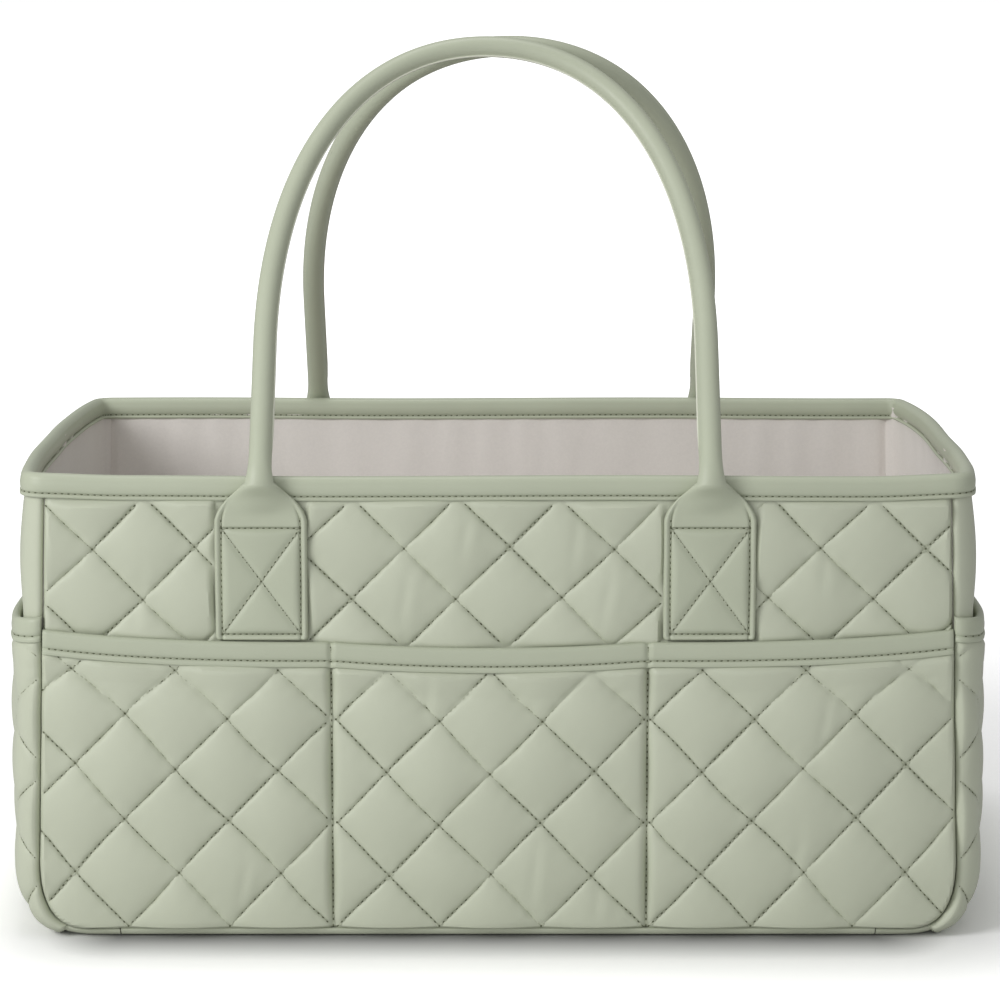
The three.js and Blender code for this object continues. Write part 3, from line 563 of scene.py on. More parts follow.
def trim(sheet: Model, outline: Array) -> None:
    """Cut a flat sheet back to a convex outline.

    Args:
        sheet: a grid from flat_grid.
        outline: the corners of the outline as X and Z, in order round it.
    """
    middle = outline.mean(axis=0)
    with editing(sheet):
        for here, there in zip(outline, np.roll(outline, -1, axis=0)):
            along = there - here
            length = np.hypot(*along)
            if length < WELD_GAP / 10:
                continue
            normal = np.array([along[1], -along[0]]) / length
            if normal @ (here - middle) < 0:
                normal = -normal
            bpy.ops.mesh.select_all(action="SELECT")
            bpy.ops.mesh.bisect(plane_co=(here[0], 0, here[1]), plane_no=(normal[0], 0, normal[1]),
                                clear_outer=True, threshold=WELD_GAP)
        bpy.ops.mesh.select_all(action="SELECT")
        bpy.ops.mesh.remove_doubles(threshold=WELD_GAP)


def stretch_top(sheet: Model, start: float, top: float, rise: Callable[[Array], Array]) -> None:
    """Raise the upper part of a flat sheet more and more from a height on.

    Args:
        sheet: a grid from flat_grid.
        start: the height below which nothing moves.
        top: the height of the sheet's top edge.
        rise: how far the top edge rises at each X.
    """
    points = coordinates(sheet)
    points[:, 2] += rise(points[:, 0]) * np.clip((points[:, 2] - start) / (top - start), 0, 1)
    move_points(sheet, points)


def lay_on(sheet: Model, surface: Surface) -> None:
    """Move each point of a flat sheet onto a surface, by its X and Z."""
    points = coordinates(sheet)
    move_points(sheet, surface(points[:, 0], points[:, 2]))


def make_up(sheet: Model, surface: Surface, thickness: float, crease: Crease, finish: Finish,
            faces_in: bool = False) -> Model:
    """Lay a flat sheet on a surface and give it a thickness behind its good face.

    Args:
        sheet: a grid from flat_grid.
        surface: where its good face lies.
        thickness: its thickness.
        crease: the angle over which its edges stay sharp.
        finish: its finish.
        faces_in: whether the good face looks into the caddy.
    """
    lay_on(sheet, surface)
    if faces_in:
        with editing(sheet):
            bpy.ops.mesh.flip_normals()
    apply_modifier(sheet, "SOLIDIFY", thickness=thickness, offset=-1.0, use_even_offset=False)
    return complete(sheet, crease, finish)


def closed_sweep(name: str, rings: Array) -> Model:
    """Model a closed band from rings of points, starting from a torus.

    Args:
        name: name of the new object.
        rings: points by ring and by place in the ring.

    Returns:
        The band, with its faces outwards.
    """
    bpy.ops.object.select_all(action="DESELECT")
    bpy.ops.mesh.primitive_torus_add(major_segments=rings.shape[0], minor_segments=rings.shape[1],
                                     major_radius=2, minor_radius=0.5)
    band = bpy.context.object
    band.name = band.data.name = name
    start = coordinates(band)
    major = np.rint(np.arctan2(start[:, 1], start[:, 0]) / math.tau * rings.shape[0]).astype(int)
    beside = np.hypot(start[:, 0], start[:, 1]) - 2
    minor = np.rint(np.arctan2(start[:, 2], beside) / math.tau * rings.shape[1]).astype(int)
    move_points(band, rings[major % rings.shape[0], minor % rings.shape[1]])
    outwards(band)
    return band


def open_sweep(name: str, rings: Array) -> Model:
    """Model a closed tube from rings of points, starting from a grid that is rolled up and capped."""
    rolled = np.concatenate([rings, rings[:, :1]], axis=1)
    tube = flat_grid(name, np.arange(rolled.shape[1]), np.arange(rolled.shape[0]))
    start = coordinates(tube)
    move_points(tube, rolled[np.rint(start[:, 2]).astype(int), np.rint(start[:, 0]).astype(int)])
    with editing(tube):
        bpy.ops.mesh.remove_doubles(threshold=POLE_GAP)
        bpy.ops.mesh.select_all(action="SELECT")
        bpy.ops.mesh.fill_holes(sides=0)
    outwards(tube)
    return tube


def outwards(shape: Model) -> None:
    """Turn all faces of a closed shape outwards."""
    with editing(shape):
        bpy.ops.mesh.normals_make_consistent(inside=False)


def other_half(name: str) -> str:
    """Return the name of the same thing in the other half of the caddy."""
    swaps = {"front": "back", "back": "front", "left": "right", "right": "left"}
    return "_".join(swaps.get(word, word) for word in name.split("_"))


def half_turned(piece: Piece) -> Piece:
    """Return a copy of a piece, turned half a turn about Z, for the other half of the caddy."""
    shape = piece.shape.copy()
    shape.data = piece.shape.data.copy()
    shape.name = shape.data.name = other_half(piece.shape.name)
    bpy.context.collection.objects.link(shape)
    move_points(shape, coordinates(shape) * HALF_TURN)
    blend = None
    if piece.blend:
        body, start, end = piece.blend
        turn = Vector(HALF_TURN)
        blend = (Body(other_half(body.value)), start * turn, end * turn)
    return Piece(
        shape, piece.finish, Body(other_half(piece.body.value)),
        tuple(other_half(node) for node in piece.replaces), piece.form, piece.flat,
        tuple(other_half(node) for node in piece.rests_on), blend,
    )


class Stitching:
    """Sews rows of stitches, with a dark dome of painted shade at each needle hole at the ends of a stitch.
    """

    pitch: float = 0.0025
    thread_radius: float = 0.00021
    thread_share: float = 0.62
    thread_lift: float = 0.00005
    slant: float = 0.12
    hole_shade_length: float = 0.00058
    hole_shade_width: float = 0.00033
    hole_shade_height: float = 0.00014
    tip_radius: float = 0.45
    swellings: Sequence[tuple[float, float]] = ((0.12, 2.0), (0.38, 1.1), (0.38, 1 / 1.1), (0.12, 0.5))

    def __init__(self) -> None:
        """Model the one stitch and the one dome of painted hole shade that all rows repeat."""
        self.stitch = self._stitch()
        self.hole = self._hole()

    def _stitch(self) -> tuple[Array, list[tuple[int, ...]]]:
        """Model a stitch along X from -0.5 to 0.5, with a width of 2, and take its mesh."""
        bpy.ops.object.select_all(action="DESELECT")
        bpy.ops.mesh.primitive_circle_add(vertices=6, radius=self.tip_radius, fill_type="NGON",
                                          rotation=(0, math.pi / 2, 0), location=(-0.5, 0, 0))
        bpy.ops.object.transform_apply(location=True, rotation=True, scale=True)
        stitch = bpy.context.object
        with editing(stitch):
            for step, scale in self.swellings:
                bpy.ops.mesh.extrude_region_move(TRANSFORM_OT_translate={"value": (step, 0, 0)})
                bpy.ops.transform.resize(value=(1, scale, scale), center_override=(0, 0, 0))
        outwards(stitch)
        return self._take(stitch)

    def _hole(self) -> tuple[Array, list[tuple[int, ...]]]:
        """Model a shallow oval dome for the shade in a needle hole, and take its mesh."""
        bpy.ops.object.select_all(action="DESELECT")
        bpy.ops.mesh.primitive_ico_sphere_add(subdivisions=1, radius=1)
        return self._take(bpy.context.object)

    @staticmethod
    def _take(model: Model) -> tuple[Array, list[tuple[int, ...]]]:
        """Return the points and faces of a model, and remove it."""
        points = coordinates(model)
        faces = [tuple(face.vertices) for face in model.data.polygons]
        mesh = model.data
        bpy.data.objects.remove(model)
        bpy.data.meshes.remove(mesh)
        return points, faces

    def sew(self, name: str, rows: Sequence[tuple[Array, Array]]) -> Model:
        """Sew rows of stitches.

        Args:
            name: name of the new object.
            rows: for each row, the places of its needle holes and the directions out of the cloth.

        Returns:
            One object with all the stitches.
        """
        rows = [row for row in rows if len(row[0]) > 1]
        start = np.concatenate([places[:-1] for places, _ in rows])
        end = np.concatenate([places[1:] for places, _ in rows])
        out = np.concatenate([directions[:-1] + directions[1:] for _, directions in rows])
        length = np.linalg.norm(end - start, axis=1, keepdims=True)
        straight = self._axes(end - start, out)
        axes = self._axes(straight[:, 0] + self.slant * straight[:, 1], straight[:, 2])
        points, faces = self.stitch
        arch = self.thread_radius * (1 - (2 * points[:, 0]) ** 2)
        every = (len(start), len(points))
        local = np.stack([
            points[None, :, 0] * length * self.thread_share,
            np.broadcast_to(points[None, :, 1] * self.thread_radius, every),
            np.broadcast_to(points[None, :, 2] * self.thread_radius + arch[None], every),
        ], axis=2)
        middle = (start + end) / 2 + axes[:, 2] * self.thread_lift
        threads = middle[:, None] + np.einsum("nvk,nkc->nvc", local, axes)
        spots, spot_faces = self.hole
        hole_alongs = np.concatenate([np.gradient(places, axis=0) for places, _ in rows])
        hole_axes = self._axes(hole_alongs, np.concatenate([directions for _, directions in rows]))
        # Each needle hole gets a flat dark dome, its colour painted shade for the hole's dimple.
        size = np.array([self.hole_shade_length, self.hole_shade_width, self.hole_shade_height])
        holes = np.concatenate([places for places, _ in rows])
        dark = holes[:, None] + np.einsum("vk,nkc->nvc", spots * size, hole_axes)
        return self._join(name, threads, faces, dark, spot_faces)

    @staticmethod
    def _axes(along: Array, out: Array) -> Array:
        """Return unit axes along a stitch, across it and out of the cloth."""
        first = along / np.linalg.norm(along, axis=1, keepdims=True)
        across = np.cross(out, first)
        across /= np.linalg.norm(across, axis=1, keepdims=True)
        return np.stack([first, across, np.cross(first, across)], axis=1)

    @staticmethod
    def _join(name: str, threads: Array, faces: list, dark: Array, spot_faces: list) -> Model:
        """Make one object of copies of the stitch and copies of the dome of painted hole shade."""
        points = np.concatenate([threads.reshape(-1, 3), dark.reshape(-1, 3)])
        corners = [tuple(v + copy * threads.shape[1] for v in face)
                   for copy in range(threads.shape[0]) for face in faces]
        base = threads.shape[0] * threads.shape[1]
        thread_count = len(corners)
        corners += [tuple(v + base + copy * dark.shape[1] for v in face)
                    for copy in range(dark.shape[0]) for face in spot_faces]
        mesh = bpy.data.meshes.new(name)
        mesh.from_pydata(points.tolist(), [], corners)
        shape = bpy.data.objects.new(name, mesh)
        bpy.context.collection.objects.link(shape)
        complete(shape, Crease.THREAD, Finish.THREAD, Finish.HOLE)
        # The domes take the second material, the painted hole shade.
        kinds = np.zeros(len(corners), np.int32)
        kinds[thread_count:] = 1
        mesh.polygons.foreach_set("material_index", kinds)
        return shape


def directions_out(surface: Surface, u: Array, v: Array) -> Array:
    """Return the unit directions out of a surface whose u and v run right and up as seen from outside."""
    step = 0.0004
    across = surface(u + step, v) - surface(u - step, v)
    upwards = surface(u, v + step) - surface(u, v - step)
    out = np.cross(across, upwards)
    return out / np.linalg.norm(out, axis=1, keepdims=True)


def sewn_line(surface: Surface, u: Array, v: Array) -> tuple[Array, Array]:
    """Return the needle holes of a row on a surface, and the directions out of it there."""
    return surface(u, v), directions_out(surface, u, v)


@dataclass(frozen=True)
class Quilting:
    """Diamond quilting: seams that cross at a point and repeat along and up the sheet."""

    length: float
    height: float
    u: float
    v: float
    loft: float = 0.0029
    steps: int = 36
    stitches: int = 12
    fullness: float = 0.5
    crease: float = 0.0003

    def counts(self, u: Array, v: Array) -> tuple[Array, Array]:
        """Return the rising and falling seam counts at a place, which are whole on a seam."""
        a, b = (u - self.u) / self.length, (v - self.v) / self.height
        return a - b, a + b

    def puff(self, u: Array, v: Array) -> Array:
        """Return how proud the padding stands at a place."""
        rising, falling = self.counts(u, v)
        shape = np.abs(np.sin(math.pi * rising) * np.sin(math.pi * falling))
        diamond = np.sin(7.3 * np.floor(rising) + 3.1 * np.floor(falling))
        return self.loft * (1 + 0.1 * diamond) * shape ** self.fullness

    def pucker(self, u: Array, v: Array) -> Array:
        """Return the small gathers that the stitches pull into the padding near a seam."""
        rising, falling = self.counts(u, v)
        perpendicular = self.length * self.height / math.hypot(self.length, self.height)
        total = np.zeros_like(u)
        for seam, along, phase in ((rising, falling, 0.3), (falling, rising, 1.9)):
            away = np.abs(seam - np.rint(seam)) * perpendicular
            stitch = -(0.5 + 0.5 * np.cos(math.tau * self.stitches / 3 * along)) * bump(away, 0.0011)
            gather = np.sin(math.tau * 3.1 * along + 2.4 * np.rint(seam) + phase)
            gather = gather * np.sin(math.tau * 1.3 * along + phase + np.rint(seam))
            total = total + self.crease * (stitch + 0.9 * gather * (away / 0.002) * np.exp(-away / 0.002))
        return total

    def lines(self, low: float, high: float, origin: float, pitch: float) -> Array:
        """Return grid lines from low to high in step with the seams."""
        step = pitch / self.steps
        first = math.ceil((low + step / 2 - origin) / step)
        last = math.floor((high - step / 2 - origin) / step)
        return np.concatenate([[low], origin + step * np.arange(first, last + 1), [high]])

    def seams(self, low: tuple[float, float], high: tuple[float, float]) -> list[tuple[Array, Array]]:
        """Return each seam that crosses a rectangle, as the places of its needle holes.

        Args:
            low: the rectangle's lower left corner.
            high: its upper right corner.

        Returns:
            A list of pairs of u and v arrays.
        """
        step = self.height / (2 * self.stitches)
        first = math.ceil((low[1] - self.v) / step)
        last = math.floor((high[1] - self.v) / step)
        v = self.v + step * np.arange(first, last + 1)
        b = (v - self.v) / self.height
        reach = (high[0] - low[0]) / self.length + (high[1] - low[1]) / self.height + 3
        count = int(math.ceil(reach + abs(low[0] - self.u) / self.length))
        found = []
        for seam in range(-count, count + 1):
            for slope in (1, -1):
                u = self.u + self.length * (seam + slope * b)
                inside = (u > low[0]) & (u < high[0])
                if inside.sum() > 1:
                    found.append((u[inside], v[inside]))
        return found


def runs(keep: Array) -> list[slice]:
    """Return the unbroken runs of at least two true values in a mask."""
    edges = np.flatnonzero(np.diff(np.concatenate([[0], keep.astype(int), [0]])))
    return [slice(a, b) for a, b in zip(edges[::2], edges[1::2]) if b - a > 1]


@dataclass(frozen=True)
class Outline:
    """One line down an end wall in the front view, from the rim round the base corner."""

    top_x: float
    low_x: float
    corner_length: float
    corner_height: float
    squareness: float = 2.0


@dataclass(frozen=True)
class Layer:
    """A wall layer: how far out it lies, its rounded edge, its seam and the flat of its end."""

    out: float
    edge: float
    seam: Outline
    crown: Outline


@dataclass(frozen=True)
class Shell:
    """The caddy's body, with the places of its layers."""

    half_length: float
    half_depth: float
    height: float
    rim_lip: float
    clearance: float = 0.0003
    tape: float = 0.0009
    skin: float = 0.001
    board: float = 0.0016
    lining: float = 0.0006
    base_board: float = 0.0025
    lining_roll: float = 0.0025
    rim_corner: float = 0.008
    base_corner: float = 0.030
    end_spread: float = 0.004
    end_bow: float = 0.0075
    base_seam: float = 0.150
    seam_spread: float = 0.005
    seam_corner: float = 0.020
    seam_lift: float = 0.0038
    seam_round: float = 0.0024
    squareness: float = 2.6

    @classmethod
    def from_frame(cls) -> "Shell":
        """Read the body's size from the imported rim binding."""
        low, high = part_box("rim_binding")
        shell = cls(half_length=high.x, half_depth=high.y, height=high.z, rim_lip=low.z)
        spread = shell.end_spread * (shell.wall_top - shell.rim_lip) / (shell.wall_top - shell.base_corner)
        return replace(shell, half_length=high.x - spread)

    @property
    def skin_y(self) -> float:
        """Return how far out the skin of the long faces lies."""
        return self.half_depth - self.tape - self.clearance

    @property
    def skin_x(self) -> float:
        """Return how far out the skin of the ends lies at the rim, beside their bow."""
        return self.half_length - self.end_bow - self.tape - self.clearance

    @property
    def rim_fold(self) -> float:
        """Return the width of the rim binding over all the layers that it holds."""
        return self.skin + self.board + self.lining + 2 * (2 * self.clearance + self.tape)

    @property
    def wall_top(self) -> float:
        """Return the height at which the wall layers end in the rim binding."""
        return self.height - self.rim_fold / 2

    @property
    def seam_x(self) -> float:
        """Return how far out the side seams lie at the rim."""
        return self.half_length - self.end_bow - self.rim_corner

    @property
    def flat_half(self) -> float:
        """Return half the flat depth of an end, between its rounded edges."""
        return self.half_depth - self.rim_corner

    @property
    def lining_step(self) -> float:
        """Return how far inside the skin's face the lining's outer face lies."""
        return self.skin + self.board + 2 * self.clearance

    @property
    def lining_bottom(self) -> float:
        """Return the height of the underside of the base lining."""
        return self.skin + self.base_board + 2 * self.clearance

    def skin_layer(self) -> Layer:
        """Return the outer skin's layer."""
        return Layer(
            out=self.skin_y,
            edge=self.skin_y - self.flat_half,
            seam=Outline(self.seam_x, self.seam_x + self.seam_spread, self.seam_corner,
                         self.base_corner - self.seam_lift, self.squareness),
            crown=Outline(self.skin_x, self.skin_x + self.end_spread, self.base_corner, self.base_corner,
                          self.squareness),
        )

    def lining_layer(self) -> Layer:
        """Return the lining's layer."""
        out = self.skin_y - self.lining_step
        edge = out - self.flat_half
        inset = self.lining_step
        return Layer(
            out=out,
            edge=edge,
            seam=Outline(self.seam_x, self.seam_x + self.end_spread, self.base_corner - inset - edge,
                         self.base_corner - self.lining_bottom - self.lining_roll),
            crown=Outline(self.skin_x - inset, self.skin_x - inset + self.end_spread,
                          self.base_corner - inset, self.base_corner - self.lining_bottom),
        )

    def outline_at(self, outline: Outline, z: Array, turn: Array, run: Array) -> tuple[Array, Array]:
        """Return the X and Z of an outline.

        Args:
            outline: the line.
            z: height on the upright part of the wall.
            turn: angle round the base corner.
            run: share of the way from the corner's end to the base seam.
        """
        share = (self.wall_top - z) / (self.wall_top - self.base_corner)
        power = 2 / outline.squareness
        beside = 1 - np.clip(np.cos(turn), 0, 1) ** power
        below = np.clip(np.sin(turn), 0, 1) ** power
        corner = lerp(outline.top_x, outline.low_x, share) - outline.corner_length * beside
        return lerp(corner, self.base_seam + self.clearance / 2, run), z - outline.corner_height * below

    def half_at(self, z: Array) -> Array:
        """Return the half-length of the front panel at a height, to its side seam."""
        outline = self.skin_layer().seam
        low = np.clip(self.base_corner - z, 0, outline.corner_height)
        turn = np.arcsin((low / outline.corner_height) ** (outline.squareness / 2))
        return self.outline_at(outline, np.maximum(z, self.base_corner), turn, 0.0)[0] - self.clearance

    def face_outline(self, top: float) -> Array:
        """Return the outline of a sheet of the front face, up to a height."""
        steps = 11
        turns = np.linspace(math.pi / 2, 0, steps)
        below = (self.base_corner - self.seam_lift) * np.sin(turns) ** (2 / self.squareness)
        heights = self.base_corner - below
        right = [(self.half_at(z), z) for z in heights] + [(self.half_at(top), top)]
        return np.array(right + [(-x, z) for x, z in reversed(right)])

    def from_seam(self, x: Array, z: Array) -> Array:
        """Return the distance in from the side and lower seams of the front face."""
        side = self.half_at(z) - np.abs(x)
        low = z - self.seam_lift
        centre_x = self.half_at(self.base_corner) - self.seam_corner
        beside, below = np.maximum(np.abs(x) - centre_x, 0), np.maximum(self.base_corner - z, 0)
        tall = self.base_corner - self.seam_lift
        reach = (np.abs(beside / self.seam_corner) ** self.squareness
                 + (below / tall) ** self.squareness) ** (1 / self.squareness)
        corner = (1 - reach) * (self.seam_corner + self.base_corner - self.seam_lift) / 2
        inside = (beside > 0) & (below > 0)
        return np.maximum(np.where(inside, corner, np.minimum(side, low)), 0)

    def rolled(self, distance: Array) -> Array:
        """Return how far a sheet turns in towards its seam at a distance from it."""
        share = np.clip(1 - distance / self.seam_round, 0, 1)
        return self.seam_round * (1 - np.sqrt(1 - share ** 2)) * 0.85

    def bow(self, y: Array) -> Array:
        """Return how far an end bows out at a distance from its middle."""
        return self.end_bow * (1 - np.minimum(1, np.abs(y) / self.half_depth) ** 3)

    def end_point(self, layer: Layer, across: Array, z: Array, turn: Array, run: Array,
                  offset: Array) -> Array:
        """Return points of the left end.

        Args:
            layer: the wall layer.
            across: share of the way across, from the front seam to the back seam.
            z: height on the upright part.
            turn: angle round the base corner.
            run: share of the way in under the base.
            offset: distance out from the layer's face.
        """
        length = self.across_length(layer)
        edge_length = math.pi / 2 * layer.edge
        distance = across * length
        from_seam = np.minimum(distance, length - distance)
        side = np.where(distance < length / 2, -1.0, 1.0)
        angle = math.pi / 2 * np.clip(from_seam / edge_length, 0, 1)
        seam_x, seam_z = self.outline_at(layer.seam, z, turn, run)
        crown_x, crown_z = self.outline_at(layer.crown, z, turn, run)
        roll = self.flat_half + (layer.edge + offset) * np.cos(angle)
        y = np.where(from_seam < edge_length, side * roll, distance - length / 2)
        crown_x = crown_x + offset * np.cos(turn) + self.bow(y) * (1 - run)
        crown_z = crown_z - offset * np.sin(turn)
        x = lerp(seam_x, crown_x, np.sin(angle))
        height = lerp(seam_z, crown_z, np.sin(angle))
        return np.column_stack([-x, y, height])

    def across_length(self, layer: Layer) -> float:
        """Return the length across an end from seam to seam."""
        return 2 * (math.pi / 2 * layer.edge + self.flat_half)


@dataclass(frozen=True)
class Fold:
    """The section of a binding tape folded over an edge, with its stitch line and its lip."""

    width: float
    drop: float
    tape: float
    stitch_drop: float
    pillow: float = 0.0003
    groove: float = 0.0006
    lip: float = 0.0004

    @property
    def stitch_sink(self) -> float:
        """Return how far in from the face the stitch line lies in its groove."""
        return self.groove * 0.6

    def leg(self) -> list[tuple[float, float]]:
        """Return the outer leg from its lip up, as distance in from the face and height above the lip."""
        stitch = self.drop - self.stitch_drop
        return [
            (self.tape * 0.75, 0.0),
            (self.tape * 0.3, -0.00005),
            (-self.lip * 0.5, 0.0002),
            (-self.lip, stitch * 0.45),
            (-self.lip * 0.4, stitch * 0.72),
            (self.groove, stitch),
            (0.0, stitch + 0.0007),
            (-self.pillow * 0.8, stitch + 0.0016),
            (-self.pillow, stitch + 0.0028),
            (-self.pillow * 0.4, stitch + 0.0042),
        ]

    def section(self, arc_steps: int) -> Array:
        """Return the closed section, as distance in from the outer face and height above the lip."""
        radius = self.width / 2
        bore = radius - self.tape
        centre = self.drop - radius
        outer = [(a, b) for a, b in self.leg() if b < centre - 0.0002]
        arc = [(radius - radius * math.cos(t), centre + radius * math.sin(t))
               for t in np.linspace(0, math.pi, arc_steps + 1)]
        mirrored = [(self.width - a, b) for a, b in reversed(outer)]
        inside = [(radius + bore * math.cos(t), centre + bore * math.sin(t))
                  for t in np.linspace(0, math.pi, 7)]
        return np.array(outer + arc + mirrored + inside)


@dataclass
class BoundPocket:
    """What the front pockets and an end pocket share: a padded sheet with a folded tape over its edge."""

    shell: Shell
    stitching: Stitching
    binding_drop: float = 0.0098
    seat_length: float = 0.010
    stitch_drop: float = 0.0073
    pillow: float = 0.00022
    end_tuck: float = 0.8
    row_margin: float = 0.0008
    swelling: float = 0.7

    @property
    def tape_fold(self) -> float:
        """Return the width of the folded binding."""
        return self.shell.skin + 2 * (self.shell.clearance + self.shell.tape)

    @property
    def fold(self) -> Fold:
        """Return the section of the binding."""
        return Fold(self.tape_fold, self.binding_drop, self.shell.tape, self.stitch_drop, self.pillow)

    def mouth(self, u: Array) -> Array:
        """Return the height of the pocket's edge at places along it."""
        raise NotImplementedError

    def belly(self, u: Array, z: Array) -> Array:
        """Return how far the pocket bellies out."""
        raise NotImplementedError

    def binding_point(self, u: Array, inward: float, up: float) -> Array:
        """Return points of the binding, from their place in its section."""
        raise NotImplementedError

    def to_lip(self, u: Array, z: Array) -> Array:
        """Return the distance up to the binding's lip."""
        return self.mouth(u) - self.binding_drop - z

    def seat(self, u: Array, z: Array) -> Array:
        """Return the room that the binding's inner leg takes behind the sheet."""
        share = 1 - self.to_lip(u, z) / self.seat_length
        return np.clip(share, 0, 1) * (self.shell.tape + self.shell.clearance)

    def binding_out(self, u: Array, inward: float) -> Array:
        """Return how far out of the wall the binding lies."""
        belly = self.belly(u, self.mouth(u) - self.binding_drop / 2)
        return self.shell.clearance + belly + self.tape_fold - inward

    def bind(self, name: str, node: str, places: Array) -> Piece:
        """Model the folded binding along the pocket's edge."""
        rings = np.stack([self.binding_point(places, a, b) for a, b in self.fold.section(8)], axis=1)
        band = complete(open_sweep(name, rings), Crease.QUILT, Finish.TAPE)
        return Piece(band, Finish.TAPE, replaces=(node,))


@dataclass
class FrontFace(BoundPocket):
    """The quilted front panel, its three pockets and their binding."""

    panel_quilt: Quilting = Quilting(0.0407, 0.040, 0.0041, 0.1572)
    pocket_quilt: Quilting = Quilting(0.0403, 0.0416, -0.0031, 0.0677)
    quilt_slack: float = 0.0024
    pocket_stitches: tuple[float, float] = (-0.0653, 0.0587)
    pocket_end_rise: float = 0.005
    middle_sag: float = 0.002
    pocket_gape: float = 0.006
    belly_squareness: float = 2.6
    belly_tuck: float = 0.76
    tuck_start: float = 0.42
    stretch_start: float = 0.090
    overlap: float = 0.004
    side_spare: float = 0.001
    seam_lift: float = 0.0006
    side_lift: float = 0.03
    lift_start: float = 0.06
    stitch_pinch: float = 0.0010
    wide_pinch: float = 0.00045
    tape_pinch: float = 0.0009
    thread_sink: float = 0.0009
    panel_drift: float = 0.013
    pocket_ripple: Ripple = Ripple(0.0004, (71, 0, 0), (23, 62, 0.7), sway=(1.3, 55))
    panel_ripple: Ripple = Ripple(0.0005, (64, 40, 0.6), (-18, 70, 0))
    pocket_creases: Sequence[tuple[float, float, float]] = (
        (0.0145, 0.026, 0.026), (0.0397, 0.018, 0.020), (-0.101, 0.022, 0.018),
        (0.117, 0.031, 0.024), (-0.028, 0.098, 0.016), (0.128, 0.086, 0.022),
    )
    panel_creases: Sequence[tuple[float, float, float]] = (
        (0.042, 0.137, 0.022), (-0.0358, 0.138, 0.022), (-0.0133, 0.162, 0.016),
        (0.030, 0.161, 0.020), (-0.140, 0.137, 0.022), (0.128, 0.150, 0.020),
    )

    def __post_init__(self) -> None:
        """Read the pocket's height and the tabs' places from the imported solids."""
        self.pocket_quilts = [replace(self.pocket_quilt, u=self.pocket_quilt.u + slack)
                              for slack in (-self.quilt_slack, 0, self.quilt_slack)]
        self.pocket_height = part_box("front_pocket_binding")[1].z - self.pocket_end_rise
        tabs = [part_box(node) for node in ("front_left_tab", "front_right_tab")]
        self.tab_spans = [(low.x, high.x, low.z) for low, high in tabs]
        self.reach = self.shell.half_at(np.array([self.shell.base_corner]))[0]

    def mouth(self, u: Array) -> Array:
        """Return the height of the pockets' edge, which rises to the seams and sags in the middle."""
        low, high = self.pocket_stitches
        from_middle = np.minimum(1, np.abs(2 * u - low - high) / (high - low))
        rise = self.pocket_end_rise * np.minimum(1, np.abs(u) / self.shell.seam_x) ** 4
        return self.pocket_height + rise - self.middle_sag * (1 - from_middle ** 2)

    def from_stitch(self, x: Array) -> Array:
        """Return the distance from the nearer of the two lines that part the pockets."""
        return np.min([np.abs(x - stitch) for stitch in self.pocket_stitches], axis=0)

    def by_pocket(self, x: Array, values: Sequence[Array]) -> Array:
        """Return for each place the value of the pocket that it is in."""
        return np.choose(np.digitize(x, self.pocket_stitches), values)

    def belly(self, u: Array, z: Array) -> Array:
        """Return how far the pockets belly out."""
        half = self.shell.half_at(z)
        edges = [-half, *(np.full_like(u, stitch) for stitch in self.pocket_stitches), half]
        out = np.zeros_like(u)
        low_edge = self.shell.seam_lift
        rise = np.clip((z - low_edge) / (self.mouth(u) - low_edge), 0, 1)
        for low, high in zip(edges, edges[1:]):
            share = np.clip((u - low) / (high - low), 0, 1)
            here = (u >= low) & (u <= high)
            out = np.where(here, 1 - np.abs(2 * share - 1) ** self.belly_squareness, out)
        tuck = 1 - self.belly_tuck * ease(self.tuck_start, 1.0, rise)
        return self.pocket_gape * out * rise ** self.swelling * tuck

    def pocket_base(self, x: Array, z: Array) -> Array:
        """Return the pocket sheet's surface without its padding."""
        shell = self.shell
        out = shell.clearance + self.belly(x, z) + self.seat(x, z) + shell.skin
        held = ease(0, 0.014, shell.from_seam(x, z)) * ease(0, 0.010, self.from_stitch(x))
        lip = self.to_lip(x, z)
        across, up = drift(x, z, held * ease(0, 0.012, lip))
        lift = self.seam_lift + self.side_lift * np.maximum(np.abs(x) - self.lift_start, 0)
        up = up + lift * ease(shell.seam_lift, 0.046, z) * ease(0, 0.022, lip)
        return np.column_stack([across, -(shell.skin_y + out), up])

    def pocket_puff(self, x: Array, z: Array) -> Array:
        """Return how proud the pocket's padding stands, fading into its seams and its binding."""
        puff = self.by_pocket(x, [quilt.puff(x, z) for quilt in self.pocket_quilts])
        beside_stitch = np.clip(self.from_stitch(x) / 0.003, 0, 1) ** 0.5
        fade = ease(*SEAM_FADE, self.shell.from_seam(x, z)) * beside_stitch
        return puff * fade * ease(*LIP_FADE, self.to_lip(x, z))

    def pocket_surface(self, x: Array, z: Array) -> Array:
        """Return the padded pocket's surface."""
        seam = self.shell.from_seam(x, z)
        from_stitch = self.from_stitch(x)
        relief = self.by_pocket(x, [quilt.pucker(x, z) for quilt in self.pocket_quilts])
        relief = relief + self.pocket_ripple.at(x, z) + creases(x, z, self.pocket_creases)
        pinch = self.stitch_pinch * bump(from_stitch, 0.0011) + self.wide_pinch * bump(from_stitch, 0.005)
        points = self.pocket_base(x, z)
        points[:, 1] -= (self.pocket_puff(x, z) + relief * ease(0, 0.004, seam)
                         - pinch - self.shell.rolled(seam))
        return points

    def panel_base(self, x: Array, z: Array) -> Array:
        """Return the front panel's surface without its padding."""
        shell = self.shell
        held = ease(0, 0.014, shell.from_seam(x, z)) * ease(0, 0.010, shell.wall_top - z)
        across, up = drift(x + self.panel_drift, z, held)
        return np.column_stack([across - self.panel_drift, np.full_like(x, -shell.skin_y), up])

